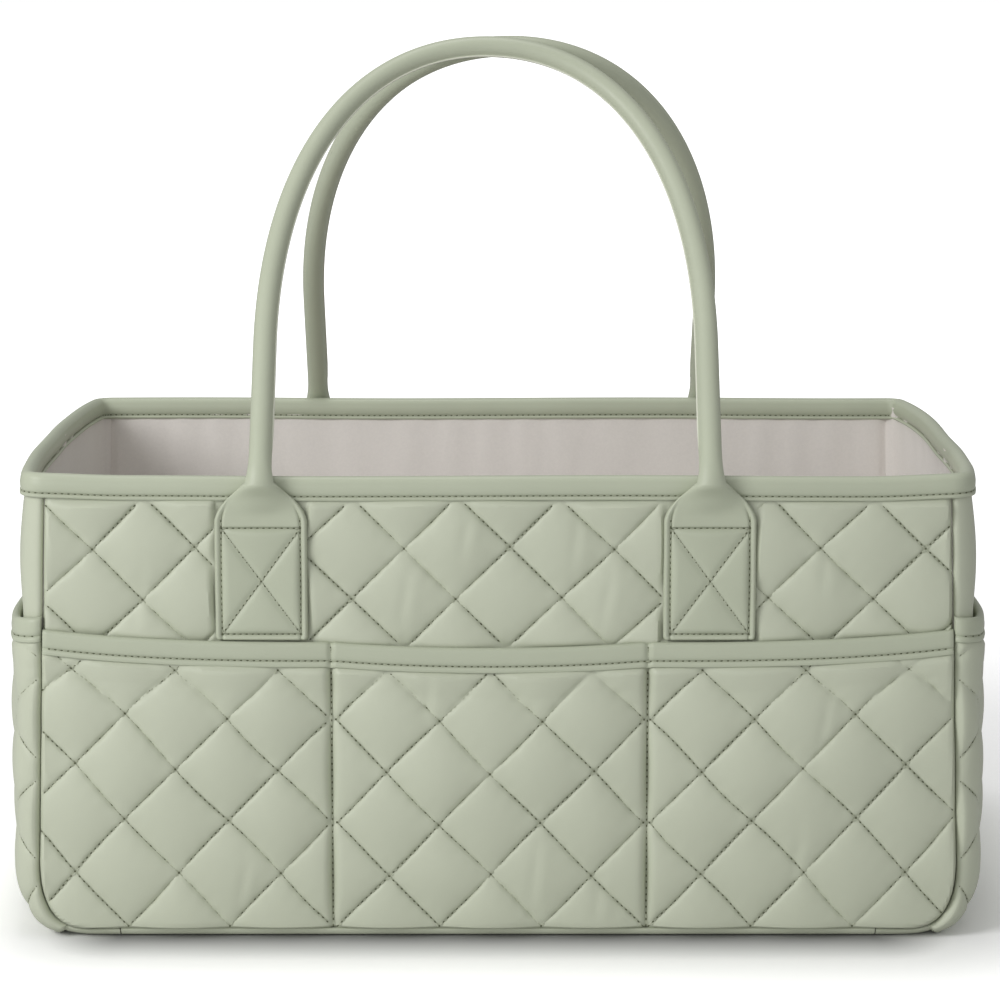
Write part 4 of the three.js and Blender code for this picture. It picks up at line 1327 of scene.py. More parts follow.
    def beside_tabs(self, x: Array, z: Array) -> Array:
        """Return 0 under a handle tab, rising to 1 beside it."""
        free = np.ones_like(x)
        for low, high, bottom in self.tab_spans:
            outside = np.maximum(np.maximum(low - x, x - high), bottom - z)
            free = free * ease(-0.0008, 0.0020, outside)
        return free

    def panel_surface(self, x: Array, z: Array) -> Array:
        """Return the padded front panel's surface, flat behind the pockets and in the rim."""
        above = ease(-0.0036, 0.0012, z - self.mouth(x))
        below = ease(-0.0008, 0.0022, self.shell.rim_lip - z)
        seam = self.shell.from_seam(x, z)
        shown = above * below * ease(*SEAM_FADE, seam) * self.beside_tabs(x, z)
        puff = self.panel_quilt.puff(x, z) + self.panel_quilt.pucker(x, z)
        puff = puff + self.panel_ripple.at(x, z) + creases(x, z, self.panel_creases)
        points = self.panel_base(x, z)
        points[:, 1] -= puff * shown - self.shell.rolled(seam)
        return points

    def panel(self) -> Piece:
        """Model the front panel."""
        quilt, shell = self.panel_quilt, self.shell
        reach = self.reach + self.side_spare
        shown = self.pocket_height - self.overlap
        rows = np.concatenate([np.linspace(shell.seam_lift, shown, 24)[:-1],
                               quilt.lines(shown, shell.wall_top, quilt.v, quilt.height)])
        sheet = flat_grid("front_panel_quilt", quilt.lines(-reach, reach, quilt.u, quilt.length), rows)
        split_cells(sheet, quilt.puff)
        trim(sheet, shell.face_outline(shell.wall_top))
        make_up(sheet, self.panel_surface, shell.skin, Crease.QUILT, Finish.SKIN)
        return Piece(sheet, Finish.SKIN, replaces=("front_panel",), form=Form.PAD)

    def panel_stitching(self) -> Piece:
        """Sew the diamonds of the front panel above the pockets."""
        low = (-self.reach, self.pocket_height)
        high = (self.reach, self.shell.rim_lip - self.row_margin)
        rows = []
        for x, z in self.panel_quilt.seams(low, high):
            keep = (self.shell.from_seam(x, z) > SEW_MARGIN) & (self.beside_tabs(x, z) > 0.3)
            rows += [sewn_line(self.panel_base, x[run], z[run]) for run in runs(keep)]
        return Piece(self.stitching.sew("front_panel_stitching", rows), Finish.SKIN)

    def pocket_spans(self, reach: float) -> Iterator[tuple[Quilting, float, float]]:
        """Return each pocket's quilting and the X of its sides, with a reach to the side seams."""
        edges = [-reach, *self.pocket_stitches, reach]
        return zip(self.pocket_quilts, edges, edges[1:])

    def pocket(self) -> Piece:
        """Model the front pockets as one padded sheet."""
        shell, quilt = self.shell, self.pocket_quilt
        reach = self.reach + self.side_spare
        columns = [np.array([-reach])]
        for each, low, high in self.pocket_spans(reach):
            columns.append(each.lines(low, high, each.u, each.length)[1:])
        top = self.pocket_height - self.tape_fold / 2
        rows = quilt.lines(shell.seam_lift, top, quilt.v, quilt.height)
        sheet = flat_grid("front_pocket_quilt", np.concatenate(columns), rows)
        split_cells(sheet, lambda x, z: self.by_pocket(x, [each.puff(x, z) for each in self.pocket_quilts]))
        trim(sheet, shell.face_outline(top))
        stretch_top(sheet, self.stretch_start, top, lambda x: self.mouth(x) - self.pocket_height)
        make_up(sheet, self.pocket_surface, shell.skin, Crease.QUILT, Finish.SKIN)
        return Piece(sheet, Finish.SKIN, replaces=("front_pocket",), form=Form.PAD)

    def pocket_stitching(self) -> Piece:
        """Sew the diamonds of the pockets and the two lines that part them."""
        shell, margin = self.shell, self.row_margin
        rows = []
        for quilt, low, high in self.pocket_spans(self.reach):
            for x, z in quilt.seams((low + margin, shell.seam_lift), (high - margin, self.pocket_height)):
                keep = (shell.from_seam(x, z) > SEW_MARGIN) & (z < self.mouth(x) - self.binding_drop - 0.0001)
                rows += [sewn_line(self.pocket_base, x[run], z[run]) for run in runs(keep)]
        for stitch in self.pocket_stitches:
            z = np.arange(shell.seam_lift + 0.0015, self.pocket_height - self.binding_drop, Stitching.pitch)
            points, outs = sewn_line(self.pocket_base, np.full_like(z, stitch), z)
            rows.append((points + (0, self.thread_sink, 0), outs))
        return Piece(self.stitching.sew("front_pocket_stitching", rows), Finish.SKIN)

    def binding_point(self, u: Array, inward: float, up: float) -> Array:
        """Return points of the pockets' binding, from their place in its section."""
        z = self.mouth(u) - self.binding_drop + up
        pinch = self.tape_pinch * bump(self.from_stitch(u), 0.0011)
        ends = self.shell.rolled(self.shell.half_at(z) - np.abs(u)) * self.end_tuck
        out = self.binding_out(u, inward) - pinch - ends
        return np.column_stack([u, -(self.shell.skin_y + out), z - pinch * 0.6])

    def binding(self) -> Piece:
        """Model the folded binding along the pockets' edge."""
        reach = self.shell.half_at(np.array([self.pocket_height]))[0] - SEW_MARGIN
        xs = np.unique(np.concatenate([
            np.linspace(-reach, reach, 150),
            *(stitch + np.linspace(-0.003, 0.003, 11) for stitch in self.pocket_stitches),
            *(side * (reach - np.array([0.0003, 0.0008, 0.0014, 0.002])) for side in (-1, 1)),
        ]))
        return self.bind("front_pocket_tape", "front_pocket_binding", xs)

    def binding_stitching(self) -> Piece:
        """Sew the line along the pockets' binding, and the bar tack at each pocket seam."""
        reach = self.shell.half_at(np.array([self.pocket_height]))[0] - 0.003
        up = self.binding_drop - self.stitch_drop
        xs = np.arange(-reach, reach, Stitching.pitch)
        points = self.binding_point(xs, self.fold.stitch_sink, up)
        rows = [(points, np.tile((0.0, -1.0, 0.12), (len(xs), 1)))]
        tack_pitch = 0.0011
        heights = np.arange(up + 0.0012, self.binding_drop - 0.0006, tack_pitch)
        for stitch in self.pocket_stitches:
            tack = np.concatenate([self.binding_point(np.array([stitch]), 0.0, height) for height in heights])
            rows.append((tack, np.tile((0.0, -1.0, 0.1), (len(tack), 1))))
        return Piece(self.stitching.sew("front_pocket_tape_stitching", rows), Finish.TAPE)

    def pieces(self) -> list[Piece]:
        """Return all the pieces of the face."""
        return [self.panel(), self.panel_stitching(), self.pocket(), self.pocket_stitching(),
                self.binding(), self.binding_stitching()]


@dataclass
class LeftEnd(BoundPocket):
    """The left end strip, its pocket and the pocket's binding."""

    quilt: Quilting = Quilting(0.0403, 0.0408, 0.0, 0.069, loft=0.0021)
    pocket_gape: float = 0.0038
    pocket_sag: float = 0.0070
    belly_squareness: float = 3.4
    belly_tuck: float = 0.48
    tuck_start: float = 0.45
    stretch_start: float = 0.080
    strip_bulge: float = 0.0015
    strip_ripple: Ripple = Ripple(0.00035, (58, 0, 1.1), (0, 47, 0.4))
    wrap: float = math.pi / 2 * 0.75

    def __post_init__(self) -> None:
        """Set out the strip and the pocket from the shell."""
        self.layer = self.shell.skin_layer()
        self.length = self.shell.across_length(self.layer)
        self.half = self.length / 2
        self.under = self.layer.crown.low_x - self.shell.base_corner - self.shell.base_seam
        self.pocket_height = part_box("left_pocket_binding")[1].z
        self.pocket_bottom = self.shell.base_corner * (1 - self.wrap)

    def strip_surface(self, u: Array, v: Array) -> Array:
        """Return the end strip. u runs across from the back seam, v up from the base seam."""
        shell = self.shell
        corner = shell.base_corner * math.pi / 2
        run = np.clip(1 - v / self.under, 0, 1)
        turn = np.clip((self.under + corner - v) / shell.base_corner, 0, math.pi / 2)
        z = shell.base_corner + np.maximum(v - self.under - corner, 0)
        seam = (0.5 - np.abs(u / self.length)) * self.length
        free = np.clip((z - self.pocket_height) / (shell.rim_lip - self.pocket_height), 0, 1)
        bulge = self.strip_bulge * np.sin(math.pi * free) * ease(0, 0.02, seam)
        ripple = self.strip_ripple.at(u, v) * ease(0.01, 0.03, v)
        offset = ripple + bulge - shell.rolled(seam) * (run < 1)
        return shell.end_point(self.layer, 0.5 - u / self.length, z, turn, run, offset)

    def strip(self) -> Piece:
        """Model the end strip, from the rim to the base seam."""
        shell, half = self.shell, self.half
        total = self.under + shell.base_corner * math.pi / 2 + shell.wall_top - shell.base_corner
        us = np.concatenate([-half + SEAM_COLUMNS, np.linspace(-half + 0.009, half - 0.009, 60),
                             (half - SEAM_COLUMNS)[::-1]])
        vs = np.concatenate([np.linspace(0, self.under, 4)[:-1], np.linspace(self.under, total, 60)])
        sheet = flat_grid("left_end_strip", us, vs)
        make_up(sheet, self.strip_surface, shell.skin, Crease.SHEET, Finish.SKIN)
        return Piece(sheet, Finish.SKIN, replaces=("left_end_panel",), form=Form.SHEET,
                     flat=(self.length, total), rests_on=("left_board",))

    def mouth(self, u: Array) -> Array:
        """Return the height of the end pocket's edge, which sags between the seams."""
        return self.pocket_height - self.pocket_sag * (1 - np.abs(2 * u / self.length) ** 2.2)

    def belly(self, u: Array, z: Array) -> Array:
        """Return how far the end pocket bellies out."""
        low_edge = self.shell.base_corner
        rise = np.clip((z - low_edge) / (self.mouth(u) - low_edge), 0, 1)
        out = 1 - np.abs(2 * u / self.length) ** self.belly_squareness
        tuck = 1 - self.belly_tuck * ease(self.tuck_start, 1.0, rise)
        return self.pocket_gape * out * rise ** self.swelling * tuck

    def pocket_at(self, u: Array, z: Array, proud: Array) -> Array:
        """Return points of the pocket sheet, where z below the base corner counts round the corner."""
        shell = self.shell
        turn = np.clip((shell.base_corner - z) / shell.base_corner, 0, None)
        offset = shell.clearance + self.belly(u, z) + self.seat(u, z) + shell.skin + proud
        upright = np.maximum(z, shell.base_corner)
        return shell.end_point(self.layer, 0.5 - u / self.length, upright, turn, np.zeros_like(u), offset)

    def pocket_base(self, u: Array, z: Array) -> Array:
        """Return the pocket's surface without its padding."""
        return self.pocket_at(u, z, np.zeros_like(u))

    def pocket_surface(self, u: Array, z: Array) -> Array:
        """Return the padded pocket's surface."""
        seam = np.minimum(self.half - np.abs(u), z - self.pocket_bottom)
        puff = self.quilt.puff(u, z) * ease(-0.0004, 0.003, seam) * ease(*LIP_FADE, self.to_lip(u, z))
        pucker = self.quilt.pucker(u, z) * ease(0, 0.004, seam)
        return self.pocket_at(u, z, puff + pucker - self.shell.rolled(seam))

    def pocket(self) -> Piece:
        """Model the end pocket as a padded sheet that wraps under the base corner."""
        quilt, half = self.quilt, self.half
        edge = SEAM_COLUMNS[1:5]
        columns = np.unique(np.concatenate([quilt.lines(-half, half, quilt.u, quilt.length),
                                            -half + edge, half - edge]))
        top = self.pocket_height - self.tape_fold / 2
        rows = quilt.lines(self.pocket_bottom, top, quilt.v, quilt.height)
        sheet = flat_grid("left_pocket_quilt", columns, rows)
        split_cells(sheet, quilt.puff)
        stretch_top(sheet, self.stretch_start, top, lambda u: self.mouth(u) - self.pocket_height)
        make_up(sheet, self.pocket_surface, self.shell.skin, Crease.QUILT, Finish.SKIN)
        return Piece(sheet, Finish.SKIN, replaces=("left_pocket",), form=Form.PAD)

    def pocket_stitching(self) -> Piece:
        """Sew the diamonds of the end pocket."""
        side = self.half - self.row_margin
        rows = []
        lowest = self.pocket_bottom + self.row_margin
        for u, z in self.quilt.seams((-side, lowest), (side, self.pocket_height)):
            keep = z < self.mouth(u) - self.binding_drop - 0.0003
            rows += [sewn_line(self.pocket_base, u[run], z[run]) for run in runs(keep)]
        return Piece(self.stitching.sew("left_pocket_stitching", rows), Finish.SKIN)

    def binding_point(self, u: Array, inward: float, up: float) -> Array:
        """Return points of the pocket's binding, from their place in its section."""
        z = self.mouth(u) - self.binding_drop + up
        offset = self.binding_out(u, inward) - self.shell.rolled(self.half - np.abs(u)) * self.end_tuck
        zero = np.zeros_like(u)
        return self.shell.end_point(self.layer, 0.5 - u / self.length, z, zero, zero, offset)

    def binding(self) -> Piece:
        """Model the folded binding along the end pocket's edge."""
        half, edge = self.half, SEAM_COLUMNS[:6]
        us = np.concatenate([-half + edge, np.linspace(-half + 0.004, half - 0.004, 96), (half - edge)[::-1]])
        return self.bind("left_pocket_tape", "left_pocket_binding", us)

    def binding_stitching(self) -> Piece:
        """Sew the line along the end pocket's binding."""
        us = np.arange(-self.half + 0.003, self.half - 0.002, Stitching.pitch)
        up = self.binding_drop - self.stitch_drop
        points = self.binding_point(us, self.fold.stitch_sink, up)
        outs = self.binding_point(us, -0.001, up) - points
        return Piece(self.stitching.sew("left_pocket_tape_stitching", [(points, outs)]), Finish.TAPE)

    def pieces(self) -> list[Piece]:
        """Return all the pieces of the end."""
        return [self.strip(), self.pocket(), self.pocket_stitching(),
                self.binding(), self.binding_stitching()]


@dataclass
class Rim:
    """The binding over the rim, in one loop."""

    shell: Shell
    stitching: Stitching
    stitch_drop: float = 0.0077
    back_lift: float = 0.0009
    corner_lift: float = 0.0012
    sway: float = 0.00025
    wave: float = 0.00022
    end_step: float = 0.0045
    long_step: float = 0.006

    def __post_init__(self) -> None:
        """Set out the rim from the shell."""
        shell = self.shell
        self.layer = shell.skin_layer()
        self.end_length = shell.across_length(self.layer)
        self.fold = Fold(shell.rim_fold, shell.height - shell.rim_lip, shell.tape, self.stitch_drop)

    def end_points(self, across: Array, inward: float, up: float) -> Array:
        """Return points of the binding along the left end, from a place in its section."""
        shell = self.shell
        zero = np.zeros_like(across)
        out = zero + shell.tape + shell.clearance - inward
        return shell.end_point(self.layer, across, zero + shell.rim_lip + up, zero, zero, out)

    def point(self, place: Array, inward: float, up: float) -> Array:
        """Return points of the rim binding, from a place in its section.

        Args:
            place: 0 to 1 along the left end, then on to 2 along the back, 3 along the right end
                and 4 along the front.
            inward: distance in from the outer face.
            up: height above the lip.
        """
        side = np.floor(place) % 4
        share = place % 1
        end = self.end_points(share, inward, up)
        begin = self.end_points(np.ones_like(share), inward, up)
        finish = self.end_points(np.zeros_like(share), inward, up) * HALF_TURN
        points = np.where((side % 2 == 0)[:, None], end, lerp(begin, finish, share[:, None]))
        points[:, :2] *= np.where(side < 2, 1, -1)[:, None]
        turn = place * math.tau / 4
        outs = points[:, :2] / np.array([self.shell.half_length, self.shell.half_depth])
        sway = self.sway * np.sin(turn * 9 + 0.5) * np.sin(turn * 5 + 1.7)
        points[:, :2] += sway[:, None] * outs
        points[:, 2] += self.wave * np.sin(turn * 7 + 2.1)
        points[:, 2] += self.back_lift * ease(0.0, 0.09, points[:, 1])
        corner = ease(0.145, 0.186, np.abs(points[:, 0])) * ease(0.06, 0.112, -points[:, 1])
        points[:, 2] += self.corner_lift * corner
        return points

    def around(self) -> Array:
        """Return places round the rim, closer together round its corners."""
        edge = math.pi / 2 * self.layer.edge / self.end_length
        count = max(4, round(edge * self.end_length / self.end_step * 2))
        flat = max(2, round((1 - 2 * edge) * self.end_length / self.end_step))
        corner = np.linspace(0, edge, count + 1)[:-1]
        ends = np.concatenate([corner, np.linspace(edge, 1 - edge, flat + 1), 1 - corner[::-1]])[:-1]
        long_count = round(2 * self.shell.seam_x / self.long_step)
        longs = np.arange(long_count) / long_count
        return np.concatenate([ends, longs + 1, ends + 2, longs + 3])

    def binding(self) -> Piece:
        """Model the rim binding."""
        around = self.around()
        rings = np.stack([self.point(around, a, b) for a, b in self.fold.section(14)], axis=1)
        band = complete(closed_sweep("rim_tape", rings), Crease.QUILT, Finish.TAPE)
        return Piece(band, Finish.TAPE, replaces=("rim_binding",))

    def stitching_lines(self) -> Piece:
        """Sew the line along the rim, outside and inside."""
        up = self.fold.drop - self.fold.stitch_drop
        counts = [round(span / Stitching.pitch) for span in (self.end_length, 2 * self.shell.seam_x)] * 2
        around = np.concatenate([side + np.arange(count) / count for side, count in enumerate(counts)])
        around = np.append(around, 0.0)
        rows = []
        for inward, side in ((self.fold.stitch_sink, 1), (self.fold.width - self.fold.stitch_sink, -1)):
            points = self.point(around, inward, up)
            outs = (self.point(around, inward - 0.001, up) - points) * side
            outs[:, 2] = 0.0001
            rows.append((points, outs))
        return Piece(self.stitching.sew("rim_stitching", rows), Finish.TAPE)

    def pieces(self) -> list[Piece]:
        """Return the rim's pieces."""
        return [self.binding(), self.stitching_lines()]


@dataclass
class FrontHandle:
    """The front handle: two stitched tabs that narrow into one rope handle."""

    shell: Shell
    stitching: Stitching
    tab_height: float = 0.0458
    tab_corner: float = 0.0018
    tab_thickness: float = 0.002
    tab_rim: float = 0.0002
    radius: float = 0.0045
    solid_radius: float = 0.00475
    reach: float = 0.1997
    straight: float = 0.0594
    grip_share: float = 0.61
    top_share: float = 0.605
    stitch_inset: float = 0.0027
    seam_width: float = 0.00045
    seam_depth: float = 0.0008
    flare_rows: int = 26
    leg_stations: int = 26
    arch_stations: int = 60
    back_columns: int = 18
    ridge_height: float = 0.00055
    ridge_angle: float = 0.13
    neck_spread: float = 0.16
    welt_radius: float = 0.00036
    welt_angle: float = 0.06
    welt_start: int = 4
    core_radius: float = 0.0033
    core_start: int = 5
    strand_height: float = 0.0001
    seam_over: float = 0.0052
    bend_below: float = 0.008
    bend_above: float = 0.010

    def __post_init__(self) -> None:
        """Read the handle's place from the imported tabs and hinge."""
        low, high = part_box("front_left_tab")
        other_low, other_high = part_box("front_right_tab")
        self.tab_width = high.x - low.x
        self.tab_bottom = low.z
        self.tab_back = -high.y
        self.tab_face = self.tab_back + self.tab_thickness
        self.middle = (low.x + other_high.x) / 2
        self.half_spacing = (other_low.x - low.x) / 2
        joint = next(joint for joint in frame["joints"] if joint["name"] == "front_handle_swing")
        self.hinge_y, self.hinge_z = -joint["pos_m"][1], joint["pos_m"][2]
        self.lean = math.asin((self.hinge_y - self.solid_radius - self.shell.clearance / 2) / self.reach)

    def front_shares(self) -> Array:
        """Return the columns across a tab's face, from -1 to 1, close together at its edges and seams."""
        half = self.tab_width / 2
        box = half - self.stitch_inset
        edge = half - np.array([0, 0.00012, 0.0004, 0.0008, 0.0013, 0.0018, 0.0022])
        inner = np.linspace(-box, box, 41)
        near = box - np.array([0.00025])
        xs = np.concatenate([-edge, inner, edge[::-1], -near, near])
        return np.unique(np.round(xs / half, 9))

    def back_angles(self) -> Array:
        """Return the angles of the columns round the back of a section, between its two sides."""
        return np.linspace(0, math.pi, self.back_columns)[1:-1]

    def tab_rows(self) -> list[float]:
        """Return the heights of the rows up a tab's box."""
        edge = np.array([0, 0.00006, 0.0002, 0.0004, 0.0007, 0.001, 0.0014, 0.0018, 0.0022, 0.00245])
        box = np.linspace(self.tab_bottom + self.stitch_inset, self.box_top, 41)
        above = self.box_top + np.array([0.00025, 0.0006, 0.0011, 0.0016])
        return [*(self.tab_bottom + edge), *box, *above]

    @property
    def box_top(self) -> float:
        """Return the height of the stitch line across the top of a tab's box."""
        return self.tab_bottom + self.tab_height - 0.0012

    def tab_half(self, z: float) -> float:
        """Return a tab's half-width at a height, inside its rounded lower corners."""
        low = max(0.0, self.tab_corner - (z - self.tab_bottom))
        return self.tab_width / 2 - self.tab_corner + math.sqrt(self.tab_corner ** 2 - low ** 2)

    def tab_relief(self, x: Array, z: float) -> Array:
        """Return how proud a tab's face stands over its back at a place.

        Args:
            x: distance from the tab's middle.
            z: height.
        """
        half = self.tab_width / 2
        box = half - self.stitch_inset
        bottom = z - self.tab_bottom
        beside = np.abs(x) - (half - self.tab_corner)
        below = self.tab_corner - bottom
        round_edge = self.tab_corner - np.hypot(np.maximum(beside, 0), max(below, 0.0))
        edge = np.where((beside > 0) & (below > 0), round_edge, np.minimum(half - np.abs(x), bottom))
        rounding = np.clip(edge / 0.0008, 0, 1)
        rounded = self.tab_thickness - self.tab_rim
        thickness = self.tab_rim + rounded * np.sqrt(1 - (1 - rounding) ** 2)
        bead = 0.0004 * bump(edge - 0.0011, 0.0006)
        side_seam = bump(half - np.abs(x) - self.stitch_inset, self.seam_width)
        if z > self.box_top:
            side_seam = side_seam * ease(-0.0105, -0.004, self.box_top - z)
        within = np.abs(x) < box + 0.0004
        low_seam = bump(bottom - self.stitch_inset, self.seam_width) * within
        top_seam = bump(z - self.box_top, self.seam_width) * within
        groove = self.seam_depth * np.maximum(np.maximum(side_seam, low_seam), top_seam)
        middle = (self.tab_bottom + self.stitch_inset + self.box_top) / 2
        tall = self.box_top - self.tab_bottom - self.stitch_inset
        a, b = x / (2 * box), (z - middle) / tall
        inside = (np.abs(a) < 0.5) & (abs(b) < 0.5)
        triangles = np.abs(np.sin(math.pi * (a - b)) * np.sin(math.pi * (a + b))) ** 0.5
        border = np.minimum(box - np.abs(x), min(z - self.tab_bottom - self.stitch_inset, self.box_top - z))
        puff = 0.0014 * triangles * np.clip(border / 0.0025, 0, 1) ** 0.5
        seam_dip = 0.0004 * np.maximum(bump((a - b) * box, 0.0007), bump((a + b) * box, 0.0007))
        return thickness + bead - groove + np.where(inside, puff - seam_dip, 0)

    def flare(self) -> list[tuple[float, float, float]]:
        """Return the rows of a tab's flare up to its round neck: height, half-width and fullness.

        The widths follow the S curve that a tab takes from its box to the neck.
        """
        start, end = self.box_top + 0.0022, self.hinge_z - 0.001
        rows = []
        for share in np.linspace(0, 1, self.flare_rows):
            z = lerp(start, end, share)
            narrow = share ** 1.75 * (1 - 0.08 * ease(0.7, 1.0, share))
            half = lerp(self.tab_width / 2, self.radius, narrow)
            rows.append((z, half, ease(0.05, 1.0, share) ** 1.15))
        return rows

    def section(self, half: float, full: float, relief: Array, centre_y: float,
                back: float) -> tuple[Array, Array]:
        """Return a section between flat tab and round handle.

        Args:
            half: half-width.
            full: 0 for the flat tab to 1 for the round handle.
            relief: how proud the tab's face stands at each front column.
            centre_y: how far out the round handle's centre lies.
            back: how far out the tab's back lies.

        Returns:
            Distance to the inner side, and distance out, of each point of the section.
        """
        shares = self.front_shares()
        round_x = self.radius * np.sin(math.pi / 2 * shares)
        round_out = centre_y + self.radius * np.cos(math.pi / 2 * shares)
        flat_x = half * shares
        hump = self.radius * 2 * full ** 1.1 * np.cos(math.pi / 2 * shares) ** lerp(3.0, 1.0, full)
        flat_out = back + relief + hump * (1 - full)
        blend = full ** 1.6
        front_x = lerp(flat_x, round_x * half / self.radius, blend)
        front_out = lerp(flat_out, round_out, blend)
        angles = self.back_angles()
        back_x = half * np.cos(angles)
        back_out = lerp(np.full(len(angles), back), centre_y - self.radius * np.sin(angles), blend)
        return np.concatenate([front_x, back_x]), np.concatenate([front_out, back_out])

    def tab_rings(self) -> list[Array]:
        """Return the rings of the left tab, from its foot to its neck."""
        rings = []
        half = self.tab_width / 2
        place = self.middle - self.half_spacing
        shares = self.front_shares()
        for z in self.tab_rows():
            width = self.tab_half(z)
            relief = self.tab_relief(width * shares, z)
            x, out = self.section(width, 0.0, relief, self.hinge_y, self.tab_back)
            rings.append(np.column_stack([place + x, -out, np.full(len(x), z)]))
        for z, width, full in self.flare():
            relief = self.tab_relief(half * shares, z) * (1 - full)
            over_rim = ease(self.shell.rim_lip - 0.006, self.shell.rim_lip, z)
            back = lerp(self.tab_back, self.shell.half_depth + 0.0004, over_rim)
            centre = lerp(self.tab_face, self.hinge_y, full)
            x, out = self.section(width, full, relief, centre, back)
            rings.append(np.column_stack([place + x, -out, np.full(len(x), z)]))
        return rings

    def bar_stations(self) -> list[tuple[Array, Array]]:
        """Return the places and directions of the round handle's middle line, from the left neck to the top.

        Each is given as the distance from the handle's middle and the distance up from the hinge.
        """
        grip, top = self.grip_share, self.top_share
        corners = np.array([
            (self.half_spacing, self.straight),
            (self.half_spacing, lerp(self.straight, self.reach, grip)),
            (self.half_spacing * top, self.reach),
            (0, self.reach),
        ])
        upright = np.array([0.0, 1.0])
        stations = [(np.array([self.half_spacing, up]), upright)
                    for up in np.linspace(0.004, self.straight, self.leg_stations)[:-1]]
        for share in np.linspace(0, 1, self.arch_stations):
            rest = 1 - share
            weights = np.array([rest ** 3, 3 * share * rest ** 2, 3 * share ** 2 * rest, share ** 3])
            cross = 2 * share * rest
            slopes = np.array([-rest ** 2, rest ** 2 - cross, cross - share ** 2, share ** 2])
            along = slopes @ corners
            stations.append((weights @ corners, along / np.hypot(*along)))
        return stations

    def bar_point(self, station: tuple[Array, Array], inward: Array, proud: Array) -> Array:
        """Return points beside the handle's middle line.

        Args:
            station: a place and direction from bar_stations.
            inward: distances towards the inside of the arch.
            proud: distances out of the plane of the arch.
        """
        (across, up), (along_x, along_up) = station
        x = self.middle - across + along_up * inward
        rise = up + along_x * inward
        y = rise * math.sin(self.lean) - proud * math.cos(self.lean) - self.hinge_y
        z = self.hinge_z + rise * math.cos(self.lean) + proud * math.sin(self.lean)
        return np.column_stack([x, y, z])

    def bar_rings(self) -> list[Array]:
        """Return the rings of the left half of the round handle, from its neck to the top of its arch."""
        front = math.pi / 2 * (1 - self.front_shares())
        angles = np.concatenate([front, -self.back_angles()])
        ridge = self.ridge_height * bump(np.arctan2(np.sin(angles), np.cos(angles)), self.ridge_angle)
        rings = []
        for number, station in enumerate(self.bar_stations()):
            radius = self.radius - self.ridge_height * 0.3 + ridge * min(1, number / 6)
            spread = 1 + self.neck_spread * bump(station[0][1], 0.006) * (number < self.leg_stations)
            rings.append(self.bar_point(station, radius * np.cos(angles) * spread, radius * np.sin(angles)))
        return rings

    def from_neck_to_neck(self, name: str, rings: Sequence[Array]) -> Model:
        """Model a tube along the whole handle from the rings of its left half, which end at the top."""
        left = np.array(rings)
        right = left[:-1][::-1].copy()
        right[:, :, 0] = 2 * self.middle - right[:, :, 0]
        return open_sweep(name, np.concatenate([left, right]))

    def core(self) -> Piece:
        """Model the rope core, which stops above the bend at the handle's hinge."""
        angles = np.linspace(0, math.tau, 25)[:-1]
        rings = []
        for number, station in enumerate(self.bar_stations()[self.core_start:]):
            radius = self.core_radius + self.strand_height * np.cos(3 * angles - 0.5 * number)
            rings.append(self.bar_point(station, radius * np.cos(angles), radius * np.sin(angles)))
        rope = complete(self.from_neck_to_neck("front_handle_rope", rings), Crease.THREAD, Finish.ROPE)
        return Piece(rope, Finish.ROPE, Body.FRONT_HANDLE, ("front_handle_core",))

    def welt(self) -> Piece:
        """Model the thin welt inside the arch where the cover's edges meet, pale partly as a painted
        highlight.
        """
        around = np.linspace(0, math.tau, 9)[:-1]
        out = self.radius + self.ridge_height * 0.45
        rings = []
        for number, station in enumerate(self.bar_stations()[self.welt_start:]):
            size = self.welt_radius * min(1.0, (number + 1) / 5)
            inward = out * math.cos(self.welt_angle) + size * np.cos(around)
            proud = out * math.sin(self.welt_angle) + size * np.sin(around)
            rings.append(self.bar_point(station, inward, proud))
        welt = complete(self.from_neck_to_neck("front_handle_inner_welt", rings), Crease.THREAD, Finish.WELT)
        return Piece(welt, Finish.WELT, Body.FRONT_HANDLE)

    def leather(self) -> Piece:
        """Model the tabs and the handle's cover as one sewn leather piece."""
        body = self.from_neck_to_neck("front_handle_leather", self.tab_rings() + self.bar_rings())
        complete(body, Crease.SHEET, Finish.TAPE)
        start = Vector((self.middle, -self.hinge_y, self.hinge_z - self.bend_below))
        end = Vector((self.middle, -self.hinge_y, self.hinge_z + self.bend_above))
        return Piece(body, Finish.TAPE, replaces=("front_left_tab", "front_right_tab", "front_handle_cover"),
                     blend=(Body.FRONT_HANDLE, start, end))

    def tab_point(self, x: Array, z: Array, sunk: float) -> Array:
        """Return points of the left tab's stitch lines, with x from its middle, sunk into its face."""
        return np.column_stack([
            self.middle - self.half_spacing + x,
            np.full(len(x), -self.tab_face + sunk),
            z,
        ])

    def tab_stitching(self) -> Piece:
        """Sew the box and the cross of both tabs."""
        box = self.tab_width / 2 - self.stitch_inset
        low, high = self.tab_bottom + self.stitch_inset, self.box_top
        over = high + self.seam_over
        deep, shallow = 0.00055, 0.0002
        lines = [
            ((-box, low), (box, low), 13, deep), ((-box, high), (box, high), 13, deep),
            ((-box, low), (-box, over), 20, deep), ((box, low), (box, over), 20, deep),
            ((-box, low), (box, high), 22, shallow), ((-box, high), (box, low), 22, shallow),
        ]
        rows = []
        for side in (1, -1):
            for (x0, z0), (x1, z1), count, sunk in lines:
                share = np.linspace(0, 1, count + 1)
                points = self.tab_point(lerp(x0, x1, share), lerp(z0, z1, share), sunk)
                if side < 0:
                    points[:, 0] = 2 * self.middle - points[:, 0]
                rows.append((points, np.tile((0.0, -1.0, 0.0), (len(points), 1))))
        return Piece(self.stitching.sew("front_tab_stitching", rows), Finish.TAPE)

